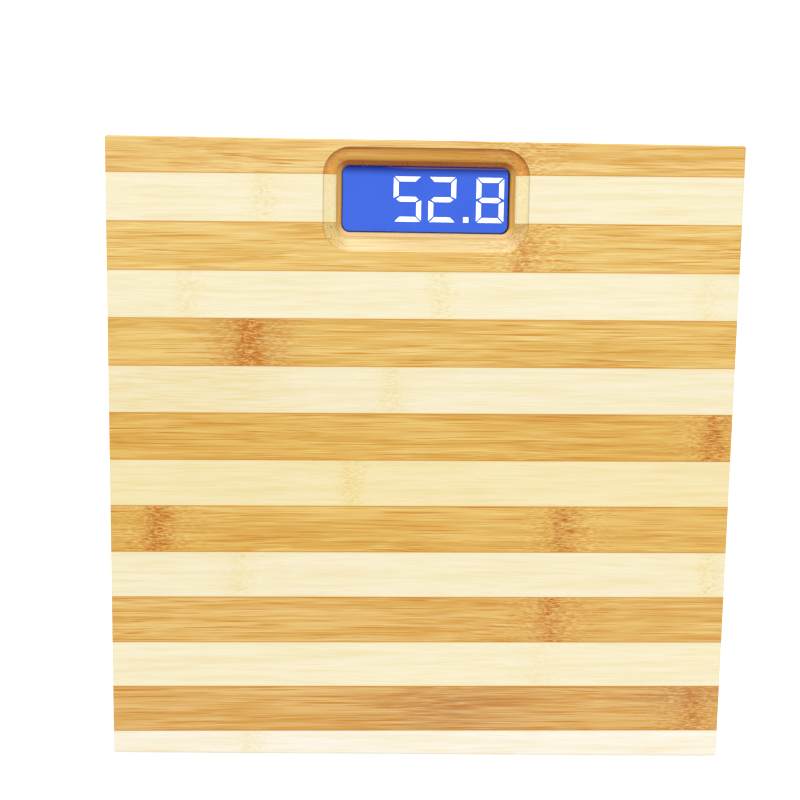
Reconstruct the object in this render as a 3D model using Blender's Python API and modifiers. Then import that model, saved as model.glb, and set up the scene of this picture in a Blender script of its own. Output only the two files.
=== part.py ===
"""Digital bathroom scale with a laminated bamboo platform.

The platform is a square board: a face ply of alternating dark and light bamboo strips glued on a core
board. A dished window near one edge shows the display. The electronics housing with its battery bay, the
four load-cell feet and the sensor cables are let into the underside of the board.

Frame: X to the right, Y towards the display edge, Z up, origin on the floor under the board's centre.
Every length is in metres.
"""

import math

import bmesh
import bpy
from mathutils import Matrix, Vector

# Driving dimensions of the platform
BOARD = 0.300  # side of the square board
FACE_PLY = 0.004  # thickness of the strips of the face ply
BOARD_THICKNESS = 0.015
FOOT_DROP = 0.009  # floor to the underside of the board
GAP = 0.0003  # clearance between pieces that touch, also the glue line

# Strips of the face ply, counted from the display edge
STRIP_COUNT = 14
FIRST_STRIP = 0.0158
LIGHT_STRIP = 0.0223
DARK_STRIP = 0.0230
STRIP_SKEW = math.radians(0.43)  # the board is sawn a little askew of its strips

# Dished window over the display. Each outline has half its width, half its depth, its centre's Y and the
# radius of its corners.
RIM = (0.0485, 0.0245, 0.1220, 0.0130)
LEDGE_EDGE = (0.0429, 0.0183, 0.1228, 0.0066)
OPENING = (0.0399, 0.0157, 0.1228, 0.0038)
LEDGE_DEPTH = 0.0034
COVE_STEPS = 5
CORNER_STEPS = 6
POCKET_CEILING = 0.0065  # depth of the pockets' ceiling under the top of the board

# Levels above the floor
UNDERSIDE = FOOT_DROP
TOP = UNDERSIDE + BOARD_THICKNESS
FACE_BOTTOM = TOP - FACE_PLY
CEILING = TOP - POCKET_CEILING

# Pocket for the electronics, and the housing that closes it
POCKET_HALF_WIDTH = 0.054
POCKET_NEAR, POCKET_FAR = 0.0605, 0.1455
POCKET_RADIUS = 0.010
FLANGE_HALF_WIDTH = 0.0585
FLANGE_NEAR, FLANGE_FAR = 0.0555, 0.148
FLANGE_THICKNESS = 0.0013
FLANGE_RADIUS = 0.006
FLANGE_TOP = UNDERSIDE - GAP
FLANGE_BOTTOM = FLANGE_TOP - FLANGE_THICKNESS
TUB_HALF_WIDTH = 0.0515
TUB_NEAR, TUB_FAR = 0.062, 0.1445
TUB_BOTTOM = 0.0032
TUB_FLOOR = 0.0052
TUB_WALL = 0.0016
TUB_RADIUS = 0.005
HOUSING_SCREWS = [(x, y) for y in (0.0597, 0.1438) for x in (-0.0543, 0.0543)]
POST_RADIUS = 0.0022
POSTS = [(x, y) for y in (0.1038, 0.1405) for x in (-0.0455, 0.0455)]  # that carry the circuit board

# Display stack, from the circuit board up to the lens
LCD_HALF_WIDTH = 0.042
LCD_NEAR, LCD_FAR = 0.101, 0.141
CONNECTOR_HALF_WIDTH, CONNECTOR_DEPTH = 0.038, 0.002
CONNECTOR_NEAR = LCD_NEAR + 0.0004
PCB_BOTTOM, PCB_TOP = 0.0087, 0.0103
BACKLIGHT_TOP = 0.0128
LCD_BOTTOM, LCD_TOP = 0.0131, 0.0151
LENS_BOTTOM, LENS_SHOULDER, LENS_TOP = 0.0154, 0.0164, 0.0176
LENS = (0.044, 0.0203, 0.122, 0.0042)  # outline of its flange, as for the dish
PCB_HALF_WIDTH = 0.049
PCB_NEAR, PCB_FAR = 0.100, 0.1423
PCB_RADIUS = 0.002
CHIP_AT = (-0.015, 0.121)
CHIP_RADIUS, CHIP_HEIGHT = 0.0065, 0.0012
UNIT_BUTTON_AT = (0.036, 0.108)
BUTTON_RADIUS, BUTTON_BOTTOM = 0.0040, 0.0027
BUTTON_SKIRT_RADIUS, BUTTON_TOP = 0.0052, 0.0061
SWITCH_HALF_WIDTH, SWITCH_BOTTOM = 0.003, 0.0070
PLUNGER_RADIUS, PLUNGER_BOTTOM = 0.0016, 0.0068

# Battery bay for two AAA cells, which lie along X
CELL_RADIUS = 0.00525
CELL_LENGTH = 0.0445
CELL_Z = 0.01065
CELL_ROWS = (0.0709, 0.0821)
CELL_FLAT_ENDS = (-0.0186, 0.0218)  # X of the negative end of each cell
CELL_TIP_RADIUS, CELL_TIP_LENGTH = 0.0019, 0.0010
BAY_HALF_LENGTH = 0.027
BAY_NEAR, BAY_FAR = 0.0645, 0.0885
BAY_WALL = 0.0014
BAY_ROOF = 0.0160
DOOR_HALF_WIDTH = 0.0296
DOOR_TOP = 0.0051
TONGUE_HALF_WIDTH, TONGUE_BOTTOM, TONGUE_START = 0.0315, 0.0043, 0.004
RIDGE_COUNT, RIDGE_HALF_LENGTH, RIDGE_WIDTH, RIDGE_PITCH = 4, 0.008, 0.001, 0.0022
RIDGE_START = 0.0035  # from the door's near edge to the first grip ridge
RIDGE_HEIGHT = 0.0005
SPRING_WIRE = 0.0004
SPRING_TIP_RADIUS, SPRING_BASE_RADIUS = 0.0020, 0.0038
SPRING_TURNS, SPRING_STEPS = 3, 9
SPRING_TAIL = 0.003

# Load-cell feet
FOOT_INSET = 0.036  # of a foot's centre from the board's edges
FOOT_AT = BOARD / 2 - FOOT_INSET
CUP_RADIUS = 0.0222
CUP_FLANGE_RADIUS = 0.0235
CUP_INSIDE_RADIUS = 0.0204
CUP_BOTTOM, CUP_FLOOR, CUP_BRIM = 0.0012, 0.0036, 0.0105
BOSS_RADIUS, BOSS_TOP = 0.0045, 0.0119
PAD_RECESS_RADIUS, PAD_RECESS_TOP = 0.0195, 0.0021
HOLDER_BORE = 0.0240
HOLDER_RADIUS = 0.0254
HOLDER_FLANGE_RADIUS = 0.0312
HOLDER_LIP_RADIUS, HOLDER_LIP_TOP = 0.0226, 0.0084
HOLDER_ROOF = 0.0160
HOLDER_SCREW_RADIUS = 0.0286  # of the circle that its screw is on
RAIL_Y, RAIL_HALF_LENGTH, RAIL_HALF_WIDTH = 0.014, 0.013, 0.002
CELL_PLATE = 0.034
CELL_PLATE_RADIUS = 0.004
CELL_PLATE_BOTTOM, CELL_PLATE_TOP = 0.0122, 0.0147
TONGUE_SLOT = 0.0016  # width of the slot round the load cell's tongue
TONGUE_SLOT_Y, TONGUE_SLOT_LEFT, TONGUE_SLOT_RIGHT = 0.0083, -0.0110, 0.0090

# Sensor cables, each a bundle of three wires in a milled groove
CABLE_RADIUS = 0.0012
GROOVE_WIDTH = 0.005
GROOVE_DEPTH = 0.0055
CABLE_START = 0.0176  # from the foot's centre
CABLE_IN_GROOVE_Z = 0.0125
CABLE_END_Z = PCB_TOP + GAP + CABLE_RADIUS
DISPLAY_BENDS = ((0.0552, FOOT_AT, 0.0123), (0.0460, FOOT_AT, CABLE_END_Z))
HEEL_BENDS = (
    (0.0405, 0.0605, 0.0123),
    (0.0402, 0.0740, 0.0122),
    (0.0420, 0.0880, 0.0120),
    (0.0460, 0.1030, CABLE_END_Z),
)

# Screws
SCREW_HEAD_RADIUS, SCREW_HEAD_HEIGHT = 0.0022, 0.0013
RECESS_HALF_LENGTH, RECESS_HALF_WIDTH = 0.0013, 0.0003
SCREW_SHANK_RADIUS = 0.0010
SCREW_LENGTH = 0.0070
SCREW_HOLE_RADIUS = 0.0013
SCREW_HOLE_DEPTH = 0.0078

ROUND_STEPS = 32
FINE_STEPS = 16
MERGE = 0.00001
CUT_MARGIN = 0.001  # how far a cutter runs past the wall it cuts

# Colours are linear red, green and blue, with roughness and metallic
FINISHES = {
    "bamboo_dark": ((0.72, 0.42, 0.13), 0.45, 0.0),
    "bamboo_light": ((0.93, 0.84, 0.58), 0.45, 0.0),
    "bamboo_core": ((0.66, 0.40, 0.15), 0.55, 0.0),
    "lens": ((0.80, 0.86, 0.95), 0.05, 0.0),
    "foam": ((0.02, 0.02, 0.02), 0.95, 0.0),
    "display": ((0.05, 0.14, 0.80), 0.15, 0.0),
    "backlight": ((0.80, 0.86, 0.95), 0.35, 0.0),
    "connector": ((0.70, 0.28, 0.30), 0.70, 0.0),
    "circuit": ((0.02, 0.16, 0.06), 0.40, 0.0),
    "epoxy": ((0.01, 0.01, 0.01), 0.25, 0.0),
    "housing": ((0.035, 0.035, 0.037), 0.50, 0.0),
    "button": ((0.30, 0.31, 0.32), 0.45, 0.0),
    "battery": ((0.05, 0.10, 0.30), 0.30, 0.2),
    "spring": ((0.75, 0.73, 0.68), 0.25, 1.0),
    "steel": ((0.55, 0.56, 0.58), 0.35, 1.0),
    "rubber": ((0.06, 0.06, 0.065), 0.85, 0.0),
    "cable": ((0.45, 0.03, 0.02), 0.50, 0.0),
    "screw": ((0.50, 0.50, 0.52), 0.30, 1.0),
}


# Scene and helpers


def clear_scene():
    for obj in list(bpy.data.objects):
        bpy.data.objects.remove(obj)


def new_collection(name):
    collection = bpy.data.collections.new(name)
    bpy.context.scene.collection.children.link(collection)
    return collection


def make_finish(name):
    colour, roughness, metallic = FINISHES[name]
    made = bpy.data.materials.new(name)
    made.use_nodes = True
    shader = made.node_tree.nodes["Principled BSDF"]
    shader.inputs["Base Color"].default_value = (*colour, 1.0)
    shader.inputs["Roughness"].default_value = roughness
    shader.inputs["Metallic"].default_value = metallic
    made.diffuse_color = (*colour, 1.0)
    return made


def finish_of(name):
    return bpy.data.materials.get(name) or make_finish(name)


def link(name, data, location=(0, 0, 0)):
    """A new object in the scale's collection."""
    obj = bpy.data.objects.new(name, data)
    obj.location = location
    bpy.data.collections["bathroom_scale"].objects.link(obj)
    return obj


def mesh_of(name, bm):
    mesh = bpy.data.meshes.new(name)
    bm.to_mesh(mesh)
    bm.free()
    return mesh


def bake(obj):
    """Replaces the object's mesh by the one that its modifiers make."""
    graph = bpy.context.evaluated_depsgraph_get()
    mesh = bpy.data.meshes.new_from_object(obj.evaluated_get(graph))
    obj.modifiers.clear()
    obj.data = mesh
    return obj


def combine(obj, helpers, operation):
    """Booleans the helpers into the object, then removes them."""
    for helper in helpers:
        modifier = obj.modifiers.new(helper.name, "BOOLEAN")
        modifier.operation = operation
        modifier.solver = "EXACT"
        modifier.object = helper
    bake(obj)
    for helper in helpers:
        bpy.data.objects.remove(helper)
    return obj


def cut(obj, *helpers):
    return combine(obj, helpers, "DIFFERENCE")


def join(obj, *helpers):
    return combine(obj, helpers, "UNION")


def painted(obj, finish, smooth_angle=30):
    """Gives the object its finish, and shades its round faces smooth."""
    mesh = obj.data
    mesh.materials.clear()
    mesh.materials.append(finish_of(finish))
    if obj.type == "MESH":
        mesh.shade_smooth()
        mesh.set_sharp_from_angle(angle=math.radians(smooth_angle))
    return obj


def block(name, low, high, radius=0.0, segments=4):
    """A box between two corners, with its four upright edges rounded."""
    low, high = Vector(low), Vector(high)
    bm = bmesh.new()
    bmesh.ops.create_cube(bm, size=1.0)
    bmesh.ops.scale(bm, vec=high - low, verts=bm.verts)
    if radius:
        upright = [edge for edge in bm.edges if edge.verts[0].co.xy == edge.verts[1].co.xy]
        bmesh.ops.bevel(bm, geom=upright, offset=radius, segments=segments, profile=0.5, affect="EDGES")
    return link(name, mesh_of(name, bm), (low + high) / 2)


def turned(name, profile, location=(0, 0, 0), steps=ROUND_STEPS):
    """A profile of (radius, height) points, from the axis down the outside and back, turned about Z."""
    mesh = bpy.data.meshes.new(name)
    mesh.from_pydata([(r, 0.0, z) for r, z in profile], [(i, i + 1) for i in range(len(profile) - 1)], [])
    obj = link(name, mesh, location)
    screw = obj.modifiers.new("Turn", "SCREW")
    screw.steps = screw.render_steps = steps
    screw.use_merge_vertices = True
    screw.merge_threshold = MERGE
    return bake(obj)


def rod(name, radius, low, high, steps=ROUND_STEPS):
    """An upright cylinder between two levels of one axis: low and high are its end points."""
    profile = [(0.0, high[2]), (radius, high[2]), (radius, low[2]), (0.0, low[2])]
    return turned(name, profile, (low[0], low[1], 0.0), steps)


def ring(outline, z, grown=0.0):
    """Points of a rounded rectangle at one level. Grown moves it outwards all round."""
    half_x, half_y, centre_y, corner = outline
    points = []
    for quarter, (sign_x, sign_y) in enumerate(((1, 1), (-1, 1), (-1, -1), (1, -1))):
        x, y = sign_x * (half_x - corner), centre_y + sign_y * (half_y - corner)
        for step in range(CORNER_STEPS + 1):
            angle = math.pi / 2 * (quarter + step / CORNER_STEPS)
            reach = corner + grown
            points.append((x + reach * math.cos(angle), y + reach * math.sin(angle), z))
    return points


def loft(name, rings):
    """A solid that joins rings of as many points each, from the lowest to the highest."""
    bm = bmesh.new()
    rows = [[bm.verts.new(point) for point in points] for points in rings]
    for lower, upper in zip(rows, rows[1:]):
        for index in range(len(lower)):
            after = (index + 1) % len(lower)
            bm.faces.new((lower[index], lower[after], upper[after], upper[index]))
    bm.faces.new(reversed(rows[0]))
    bm.faces.new(rows[-1])
    bmesh.ops.triangulate(bm, faces=[face for face in bm.faces if len(face.verts) == 4])
    return link(name, mesh_of(name, bm))


def smooth_route(points, spacing):
    """Points about spacing apart on a smooth curve through the route's own points."""
    ends = [2 * points[0] - points[1], *points, 2 * points[-1] - points[-2]]
    route = []
    for before, start, end, after in zip(ends, ends[1:], ends[2:], ends[3:]):
        steps = max(1, round((end - start).length / spacing))
        for step in range(steps):
            t = step / steps
            route.append(
                0.5
                * (
                    2 * start
                    + (end - before) * t
                    + (2 * before - 5 * start + 4 * end - after) * t**2
                    + (3 * start - before - 3 * end + after) * t**3
                )
            )
    return [*route, points[-1]]


def wire(name, points, radius, resolution=2):
    """A round wire or cable along the points."""
    curve = bpy.data.curves.new(name, "CURVE")
    curve.dimensions = "3D"
    curve.bevel_depth = radius
    curve.bevel_resolution = resolution
    curve.use_fill_caps = True
    spline = curve.splines.new("POLY")
    spline.points.add(len(points) - 1)
    for spline_point, point in zip(spline.points, points):
        spline_point.co = (*point, 1.0)
    return link(name, curve)


def copy_of(original, name, location, parent=None):
    """Another object that shares the original's mesh."""
    obj = link(name, original.data, location)
    obj.parent = parent
    return obj


# Platform


def strip_lines():
    """Where the strips' long edges cross x = 0, from the display edge to the heel edge."""
    lines = [BOARD / 2, BOARD / 2 - FIRST_STRIP]
    for number in range(2, STRIP_COUNT):
        lines.append(lines[-1] - (DARK_STRIP if number % 2 else LIGHT_STRIP))
    return [*lines, -BOARD / 2]


def edge_y(line, x, side):
    """Y of a strip's edge at x. The two outer edges follow the board, the others the strips' skew."""
    if abs(line) >= BOARD / 2:
        return line
    return line + x * math.tan(STRIP_SKEW) + side * GAP / 2


def face_strip(name, number, left=-BOARD / 2, right=BOARD / 2):
    """One strip of the face ply between two x positions. Odd numbers are the dark strips."""
    far_line, near_line = strip_lines()[number - 1 : number + 1]
    bm = bmesh.new()
    bmesh.ops.create_cube(bm, size=1.0)
    for vert in bm.verts:
        x = right if vert.co.x > 0 else left
        y = edge_y(far_line, x, -1) if vert.co.y > 0 else edge_y(near_line, x, 1)
        vert.co = (x, y, TOP if vert.co.z > 0 else FACE_BOTTOM)
    strip = link(name, mesh_of(name, bm))
    return painted(strip, "bamboo_dark" if number % 2 else "bamboo_light")


def between(first, second, share):
    return tuple(a + (b - a) * share for a, b in zip(first, second))


def window_cutter():
    """The dish and the opening below it as one solid, which runs past the board's top and into the pocket."""
    rings = [ring(OPENING, CEILING - CUT_MARGIN), ring(OPENING, CEILING)]
    for step in range(COVE_STEPS, -1, -1):
        angle = math.pi / 2 * step / COVE_STEPS
        outline = between(RIM, LEDGE_EDGE, 1 - math.cos(angle))
        rings.append(ring(outline, TOP - LEDGE_DEPTH * math.sin(angle)))
    rings.append(ring(RIM, TOP + CUT_MARGIN))
    return loft("window", rings)


def face_ply():
    """The 14 strips. The window cuts the second one through, so that strip is two pieces."""
    halves = BOARD / 10  # a strip's half starts inside the window, which then trims it
    cut(face_strip("face_strip_01", 1), window_cutter())
    cut(face_strip("face_strip_02_left", 2, right=-halves), window_cutter())
    cut(face_strip("face_strip_02_right", 2, left=halves), window_cutter())
    cut(face_strip("face_strip_03", 3), window_cutter())
    for number in range(4, STRIP_COUNT + 1):
        face_strip(f"face_strip_{number:02d}", number)


def screw_hole(x, y):
    return rod(
        "screw_hole",
        SCREW_HOLE_RADIUS,
        (x, y, UNDERSIDE - CUT_MARGIN),
        (x, y, UNDERSIDE + SCREW_HOLE_DEPTH),
        FINE_STEPS,
    )


def groove(foot, length):
    """The cutter of a cable's groove, which leaves the foot's pocket in the cable's direction."""
    start = HOLDER_BORE
    cutter = block(
        "groove",
        (start, -GROOVE_WIDTH / 2, UNDERSIDE - CUT_MARGIN),
        (length, GROOVE_WIDTH / 2, UNDERSIDE + GROOVE_DEPTH),
    )
    cutter.matrix_world = foot.matrix_world @ Matrix.Translation(cutter.location)
    return cutter


def core_board(feet):
    half = BOARD / 2
    core = block("core_board", (-half, -half, UNDERSIDE), (half, half, FACE_BOTTOM - GAP))
    pocket = block(
        "pocket",
        (-POCKET_HALF_WIDTH, POCKET_NEAR, UNDERSIDE - CUT_MARGIN),
        (POCKET_HALF_WIDTH, POCKET_FAR, CEILING),
        POCKET_RADIUS,
    )
    cutters = [window_cutter(), pocket]
    for foot in feet:
        centre = foot.location
        cutters.append(
            rod(
                "foot_pocket",
                HOLDER_RADIUS + GAP,
                (centre.x, centre.y, UNDERSIDE - CUT_MARGIN),
                (centre.x, centre.y, CEILING),
            )
        )
        cutters.append(groove(foot, foot["groove_length"]))
        screw = foot.matrix_world @ Vector((-HOLDER_SCREW_RADIUS, 0, 0))
        cutters.append(screw_hole(screw.x, screw.y))
    cutters += [screw_hole(x, y) for x, y in HOUSING_SCREWS]
    painted(cut(core, *cutters), "bamboo_core")


# Display


def display():
    flange = loft("window_lens", [ring(LENS, LENS_BOTTOM), ring(LENS, LENS_SHOULDER)])
    raised = loft("raised", [ring(OPENING, LENS_BOTTOM + GAP, -GAP), ring(OPENING, LENS_TOP, -GAP)])
    painted(join(flange, raised), "lens")

    gasket = loft("lens_gasket", [ring(LENS, LENS_SHOULDER + GAP), ring(LENS, CEILING - GAP)])
    hole = loft("gasket_hole", [ring(OPENING, LENS_SHOULDER), ring(OPENING, CEILING)])
    painted(cut(gasket, hole), "foam")

    lcd = block("lcd_panel", (-LCD_HALF_WIDTH, LCD_NEAR, LCD_BOTTOM), (LCD_HALF_WIDTH, LCD_FAR, LCD_TOP))
    painted(lcd, "display")
    connector_far = CONNECTOR_NEAR + CONNECTOR_DEPTH
    connector = block(
        "lcd_connector",
        (-CONNECTOR_HALF_WIDTH, CONNECTOR_NEAR, PCB_TOP + GAP),
        (CONNECTOR_HALF_WIDTH, connector_far, BACKLIGHT_TOP),
    )
    painted(connector, "connector")
    backlight = block(
        "backlight_panel",
        (-LCD_HALF_WIDTH, connector_far + 2 * GAP, PCB_TOP + GAP),
        (LCD_HALF_WIDTH, LCD_FAR, BACKLIGHT_TOP),
    )
    painted(backlight, "backlight")


# Electronics housing


def housing_tub():
    """The flange with the tub below it, hollow and open at the top."""
    tub = block(
        "electronics_housing",
        (-FLANGE_HALF_WIDTH, FLANGE_NEAR, FLANGE_BOTTOM),
        (FLANGE_HALF_WIDTH, FLANGE_FAR, FLANGE_TOP),
        FLANGE_RADIUS,
    )
    outer = block(
        "tub_outer",
        (-TUB_HALF_WIDTH, TUB_NEAR, TUB_BOTTOM),
        (TUB_HALF_WIDTH, TUB_FAR, FLANGE_TOP - GAP),
        TUB_RADIUS,
    )
    inner = block(
        "tub_inner",
        (-TUB_HALF_WIDTH + TUB_WALL, TUB_NEAR + TUB_WALL, TUB_FLOOR),
        (TUB_HALF_WIDTH - TUB_WALL, TUB_FAR - TUB_WALL, FLANGE_TOP + CUT_MARGIN),
        TUB_RADIUS - TUB_WALL,
    )
    return cut(join(tub, outer), inner)


def battery_bay(housing):
    """Adds the bay to the housing: walls and a roof, open downwards, with grooves for the door's tongues."""
    outer_x = BAY_HALF_LENGTH + BAY_WALL
    walls_bottom = DOOR_TOP + GAP
    shell = block(
        "bay_shell",
        (-outer_x, BAY_NEAR - BAY_WALL, walls_bottom),
        (outer_x, BAY_FAR + BAY_WALL, BAY_ROOF + BAY_WALL - GAP),
    )
    root = block(
        "bay_root",
        (-outer_x, BAY_FAR, TUB_FLOOR - 2 * GAP),
        (outer_x, BAY_FAR + BAY_WALL, walls_bottom + CUT_MARGIN),
    )
    join(housing, shell, root)
    hollow = block(
        "bay_hollow",
        (-BAY_HALF_LENGTH, BAY_NEAR, TUB_BOTTOM - CUT_MARGIN),
        (BAY_HALF_LENGTH, BAY_FAR, BAY_ROOF),
    )
    doorway = block(
        "doorway",
        (-DOOR_HALF_WIDTH - GAP, TUB_NEAR - 2 * CUT_MARGIN, TUB_BOTTOM - CUT_MARGIN),
        (DOOR_HALF_WIDTH + GAP, BAY_FAR, walls_bottom),
    )
    tongue_slot = block(
        "tongue_slot",
        (-TONGUE_HALF_WIDTH - GAP, TUB_NEAR - 2 * CUT_MARGIN, TONGUE_BOTTOM - GAP),
        (TONGUE_HALF_WIDTH + GAP, BAY_FAR - CUT_MARGIN, walls_bottom),
    )
    return cut(housing, hollow, doorway, tongue_slot)


def electronics_housing():
    housing = battery_bay(housing_tub())
    posts = [
        rod("post", POST_RADIUS, (x, y, TUB_FLOOR - GAP), (x, y, PCB_BOTTOM - GAP), FINE_STEPS)
        for x, y in POSTS
    ]
    join(housing, *posts)
    button_x, button_y = UNIT_BUTTON_AT
    holes = [
        rod(
            "button_hole",
            BUTTON_RADIUS + GAP,
            (button_x, button_y, TUB_BOTTOM - CUT_MARGIN),
            (button_x, button_y, TUB_FLOOR + CUT_MARGIN),
            FINE_STEPS,
        )
    ]
    holes += [
        rod(
            "flange_hole",
            SCREW_HOLE_RADIUS,
            (x, y, FLANGE_BOTTOM - CUT_MARGIN),
            (x, y, FLANGE_TOP + CUT_MARGIN),
            FINE_STEPS,
        )
        for x, y in HOUSING_SCREWS
    ]
    painted(cut(housing, *holes), "housing")


def battery_cover():
    """The door slides out towards the heel edge. Its origin is on the line that it slides along."""
    near, far = TUB_NEAR - GAP, BAY_FAR - GAP
    cover = block(
        "battery_cover", (-DOOR_HALF_WIDTH, near, TUB_BOTTOM), (DOOR_HALF_WIDTH, far, DOOR_TOP)
    )
    tongues = block(
        "tongues",
        (-TONGUE_HALF_WIDTH, near + TONGUE_START, TONGUE_BOTTOM),
        (TONGUE_HALF_WIDTH, BAY_FAR - CUT_MARGIN - GAP, DOOR_TOP - GAP),
    )
    starts = [near + RIDGE_START + RIDGE_PITCH * row for row in range(RIDGE_COUNT)]
    ridges = [
        block(
            "ridge",
            (-RIDGE_HALF_LENGTH, start, TUB_BOTTOM - RIDGE_HEIGHT),
            (RIDGE_HALF_LENGTH, start + RIDGE_WIDTH, TUB_BOTTOM + GAP),
        )
        for start in starts
    ]
    painted(join(cover, tongues, *ridges), "housing")


def circuit():
    board = block(
        "circuit_board",
        (-PCB_HALF_WIDTH, PCB_NEAR, PCB_BOTTOM),
        (PCB_HALF_WIDTH, PCB_FAR, PCB_TOP),
        PCB_RADIUS,
        segments=2,
    )
    painted(board, "circuit")
    top = PCB_BOTTOM - GAP
    dome = [(0.0, top)]
    for step in range(4, -1, -1):
        angle = math.pi / 2 * step / 4
        dome.append((CHIP_RADIUS * math.sin(angle), top - CHIP_HEIGHT * math.cos(angle)))
    painted(turned("controller_chip", dome, (*CHIP_AT, 0), FINE_STEPS), "epoxy")
    x, y = UNIT_BUTTON_AT
    half = SWITCH_HALF_WIDTH
    switch = block("unit_switch", (x - half, y - half, SWITCH_BOTTOM), (x + half, y + half, top))
    plunger = rod("plunger", PLUNGER_RADIUS, (x, y, PLUNGER_BOTTOM), (x, y, SWITCH_BOTTOM + GAP), FINE_STEPS)
    painted(join(switch, plunger), "steel")
    button = [
        (0.0, BUTTON_TOP),
        (BUTTON_SKIRT_RADIUS, BUTTON_TOP),
        (BUTTON_SKIRT_RADIUS, TUB_FLOOR + GAP),
        (BUTTON_RADIUS, TUB_FLOOR + GAP),
        (BUTTON_RADIUS, BUTTON_BOTTOM + GAP),
        (BUTTON_RADIUS - GAP, BUTTON_BOTTOM),
        (0.0, BUTTON_BOTTOM),
    ]
    painted(turned("unit_button", button, (x, y, 0), 24), "button")


# Batteries and their contacts


def battery_cell(name, row, flat_end):
    """An AAA cell along X, from its negative end across the middle."""
    body_length = CELL_LENGTH - CELL_TIP_LENGTH
    profile = [
        (0.0, CELL_LENGTH),
        (CELL_TIP_RADIUS, CELL_LENGTH),
        (CELL_TIP_RADIUS, body_length),
        (0.8 * CELL_RADIUS, body_length),
        (CELL_RADIUS, body_length - CELL_TIP_LENGTH),
        (CELL_RADIUS, GAP),
        (0.9 * CELL_RADIUS, 0.0),
        (0.0, 0.0),
    ]
    cell = turned(name, profile, (flat_end, row, CELL_Z), 24)
    cell.rotation_euler = (0, math.copysign(math.pi / 2, -flat_end), 0)
    painted(cell, "battery")


def coil(centre_y, tip_x, base_x):
    """Points of a conical spring along X, from its narrow tip to the top of its wide base."""
    count = SPRING_TURNS * SPRING_STEPS
    points = []
    for step in range(count + 1):
        share = step / count
        angle = 2 * math.pi * SPRING_TURNS * share
        radius = SPRING_TIP_RADIUS + (SPRING_BASE_RADIUS - SPRING_TIP_RADIUS) * share
        x = tip_x + (base_x - tip_x) * share
        points.append(Vector((x, centre_y + radius * math.sin(angle), CELL_Z + radius * math.cos(angle))))
    return points


def battery_contacts():
    first_row, second_row = CELL_ROWS
    base_x = BAY_HALF_LENGTH - GAP - SPRING_WIRE
    clear = GAP + SPRING_WIRE + 0.0001
    flat_left, flat_right = CELL_FLAT_ENDS
    tip_left = flat_right - CELL_LENGTH
    bridge = coil(first_row, flat_left - clear, -base_x)
    back = coil(second_row, tip_left - SPRING_WIRE - 0.0001, -base_x)
    mirrored = [Vector((p.x, 2 * second_row - p.y, p.z)) for p in reversed(back)]
    painted(wire("battery_bridge_spring", bridge + mirrored, SPRING_WIRE, 1), "spring")
    negative = coil(second_row, flat_right + clear, base_x)
    tail = negative[-1] + Vector((0, -SPRING_TAIL, 0))
    painted(wire("battery_negative_spring", [*negative, tail], SPRING_WIRE, 1), "spring")
    half, right = 0.0045, BAY_HALF_LENGTH - GAP
    plate = block(
        "battery_positive_plate",
        (right - SPRING_WIRE, first_row - half, CELL_Z - half),
        (right, first_row + half - GAP, CELL_Z + half),
    )
    painted(plate, "spring")


# Feet and sensor cables


def foot_empties():
    """One empty for each foot, at its centre, with its X axis along the cable's way out."""
    targets = {"display": Vector((0.047, FOOT_AT, 0)), "heel": Vector((0.040, 0.062, 0))}
    feet = []
    for end, y in (("display", FOOT_AT), ("heel", -FOOT_AT)):
        for side, sign in (("left", -1), ("right", 1)):
            centre = Vector((sign * FOOT_AT, y, 0))
            target = Vector((sign * targets[end].x, targets[end].y, 0))
            way = target - centre
            foot = link(f"foot_{end}_{side}", None, centre)
            foot.rotation_euler = (0, 0, math.atan2(way.y, way.x))
            foot["groove_length"] = way.length + 0.004
            foot["place"] = f"{end}_{side}"
            feet.append(foot)
    bpy.context.view_layer.update()
    return feet


def foot_cup():
    """A shallow cup with a boss that bears on the load cell, and a recess below for the pad."""
    profile = [
        (0.0, BOSS_TOP),
        (BOSS_RADIUS - 0.0015, BOSS_TOP - 0.0004),
        (BOSS_RADIUS, CUP_BRIM),
        (BOSS_RADIUS, CUP_FLOOR),
        (CUP_INSIDE_RADIUS, CUP_FLOOR),
        (CUP_INSIDE_RADIUS, CUP_BRIM),
        (CUP_FLANGE_RADIUS, CUP_BRIM),
        (CUP_FLANGE_RADIUS, CUP_BRIM - 0.001),
        (CUP_RADIUS, CUP_BRIM - 0.001),
        (CUP_RADIUS, CUP_BOTTOM + 0.001),
        (CUP_RADIUS - 0.001, CUP_BOTTOM),
        (PAD_RECESS_RADIUS, CUP_BOTTOM),
        (PAD_RECESS_RADIUS, PAD_RECESS_TOP),
        (0.0, PAD_RECESS_TOP),
    ]
    return painted(turned("foot_cup", profile), "housing")


def foot_pad():
    radius, top, chamfer = PAD_RECESS_RADIUS - GAP, PAD_RECESS_TOP - GAP, 0.0005
    profile = [(0.0, top), (radius, top), (radius, chamfer), (radius - chamfer, 0.0), (0.0, 0.0)]
    return painted(turned("foot_pad", profile), "rubber")


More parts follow.
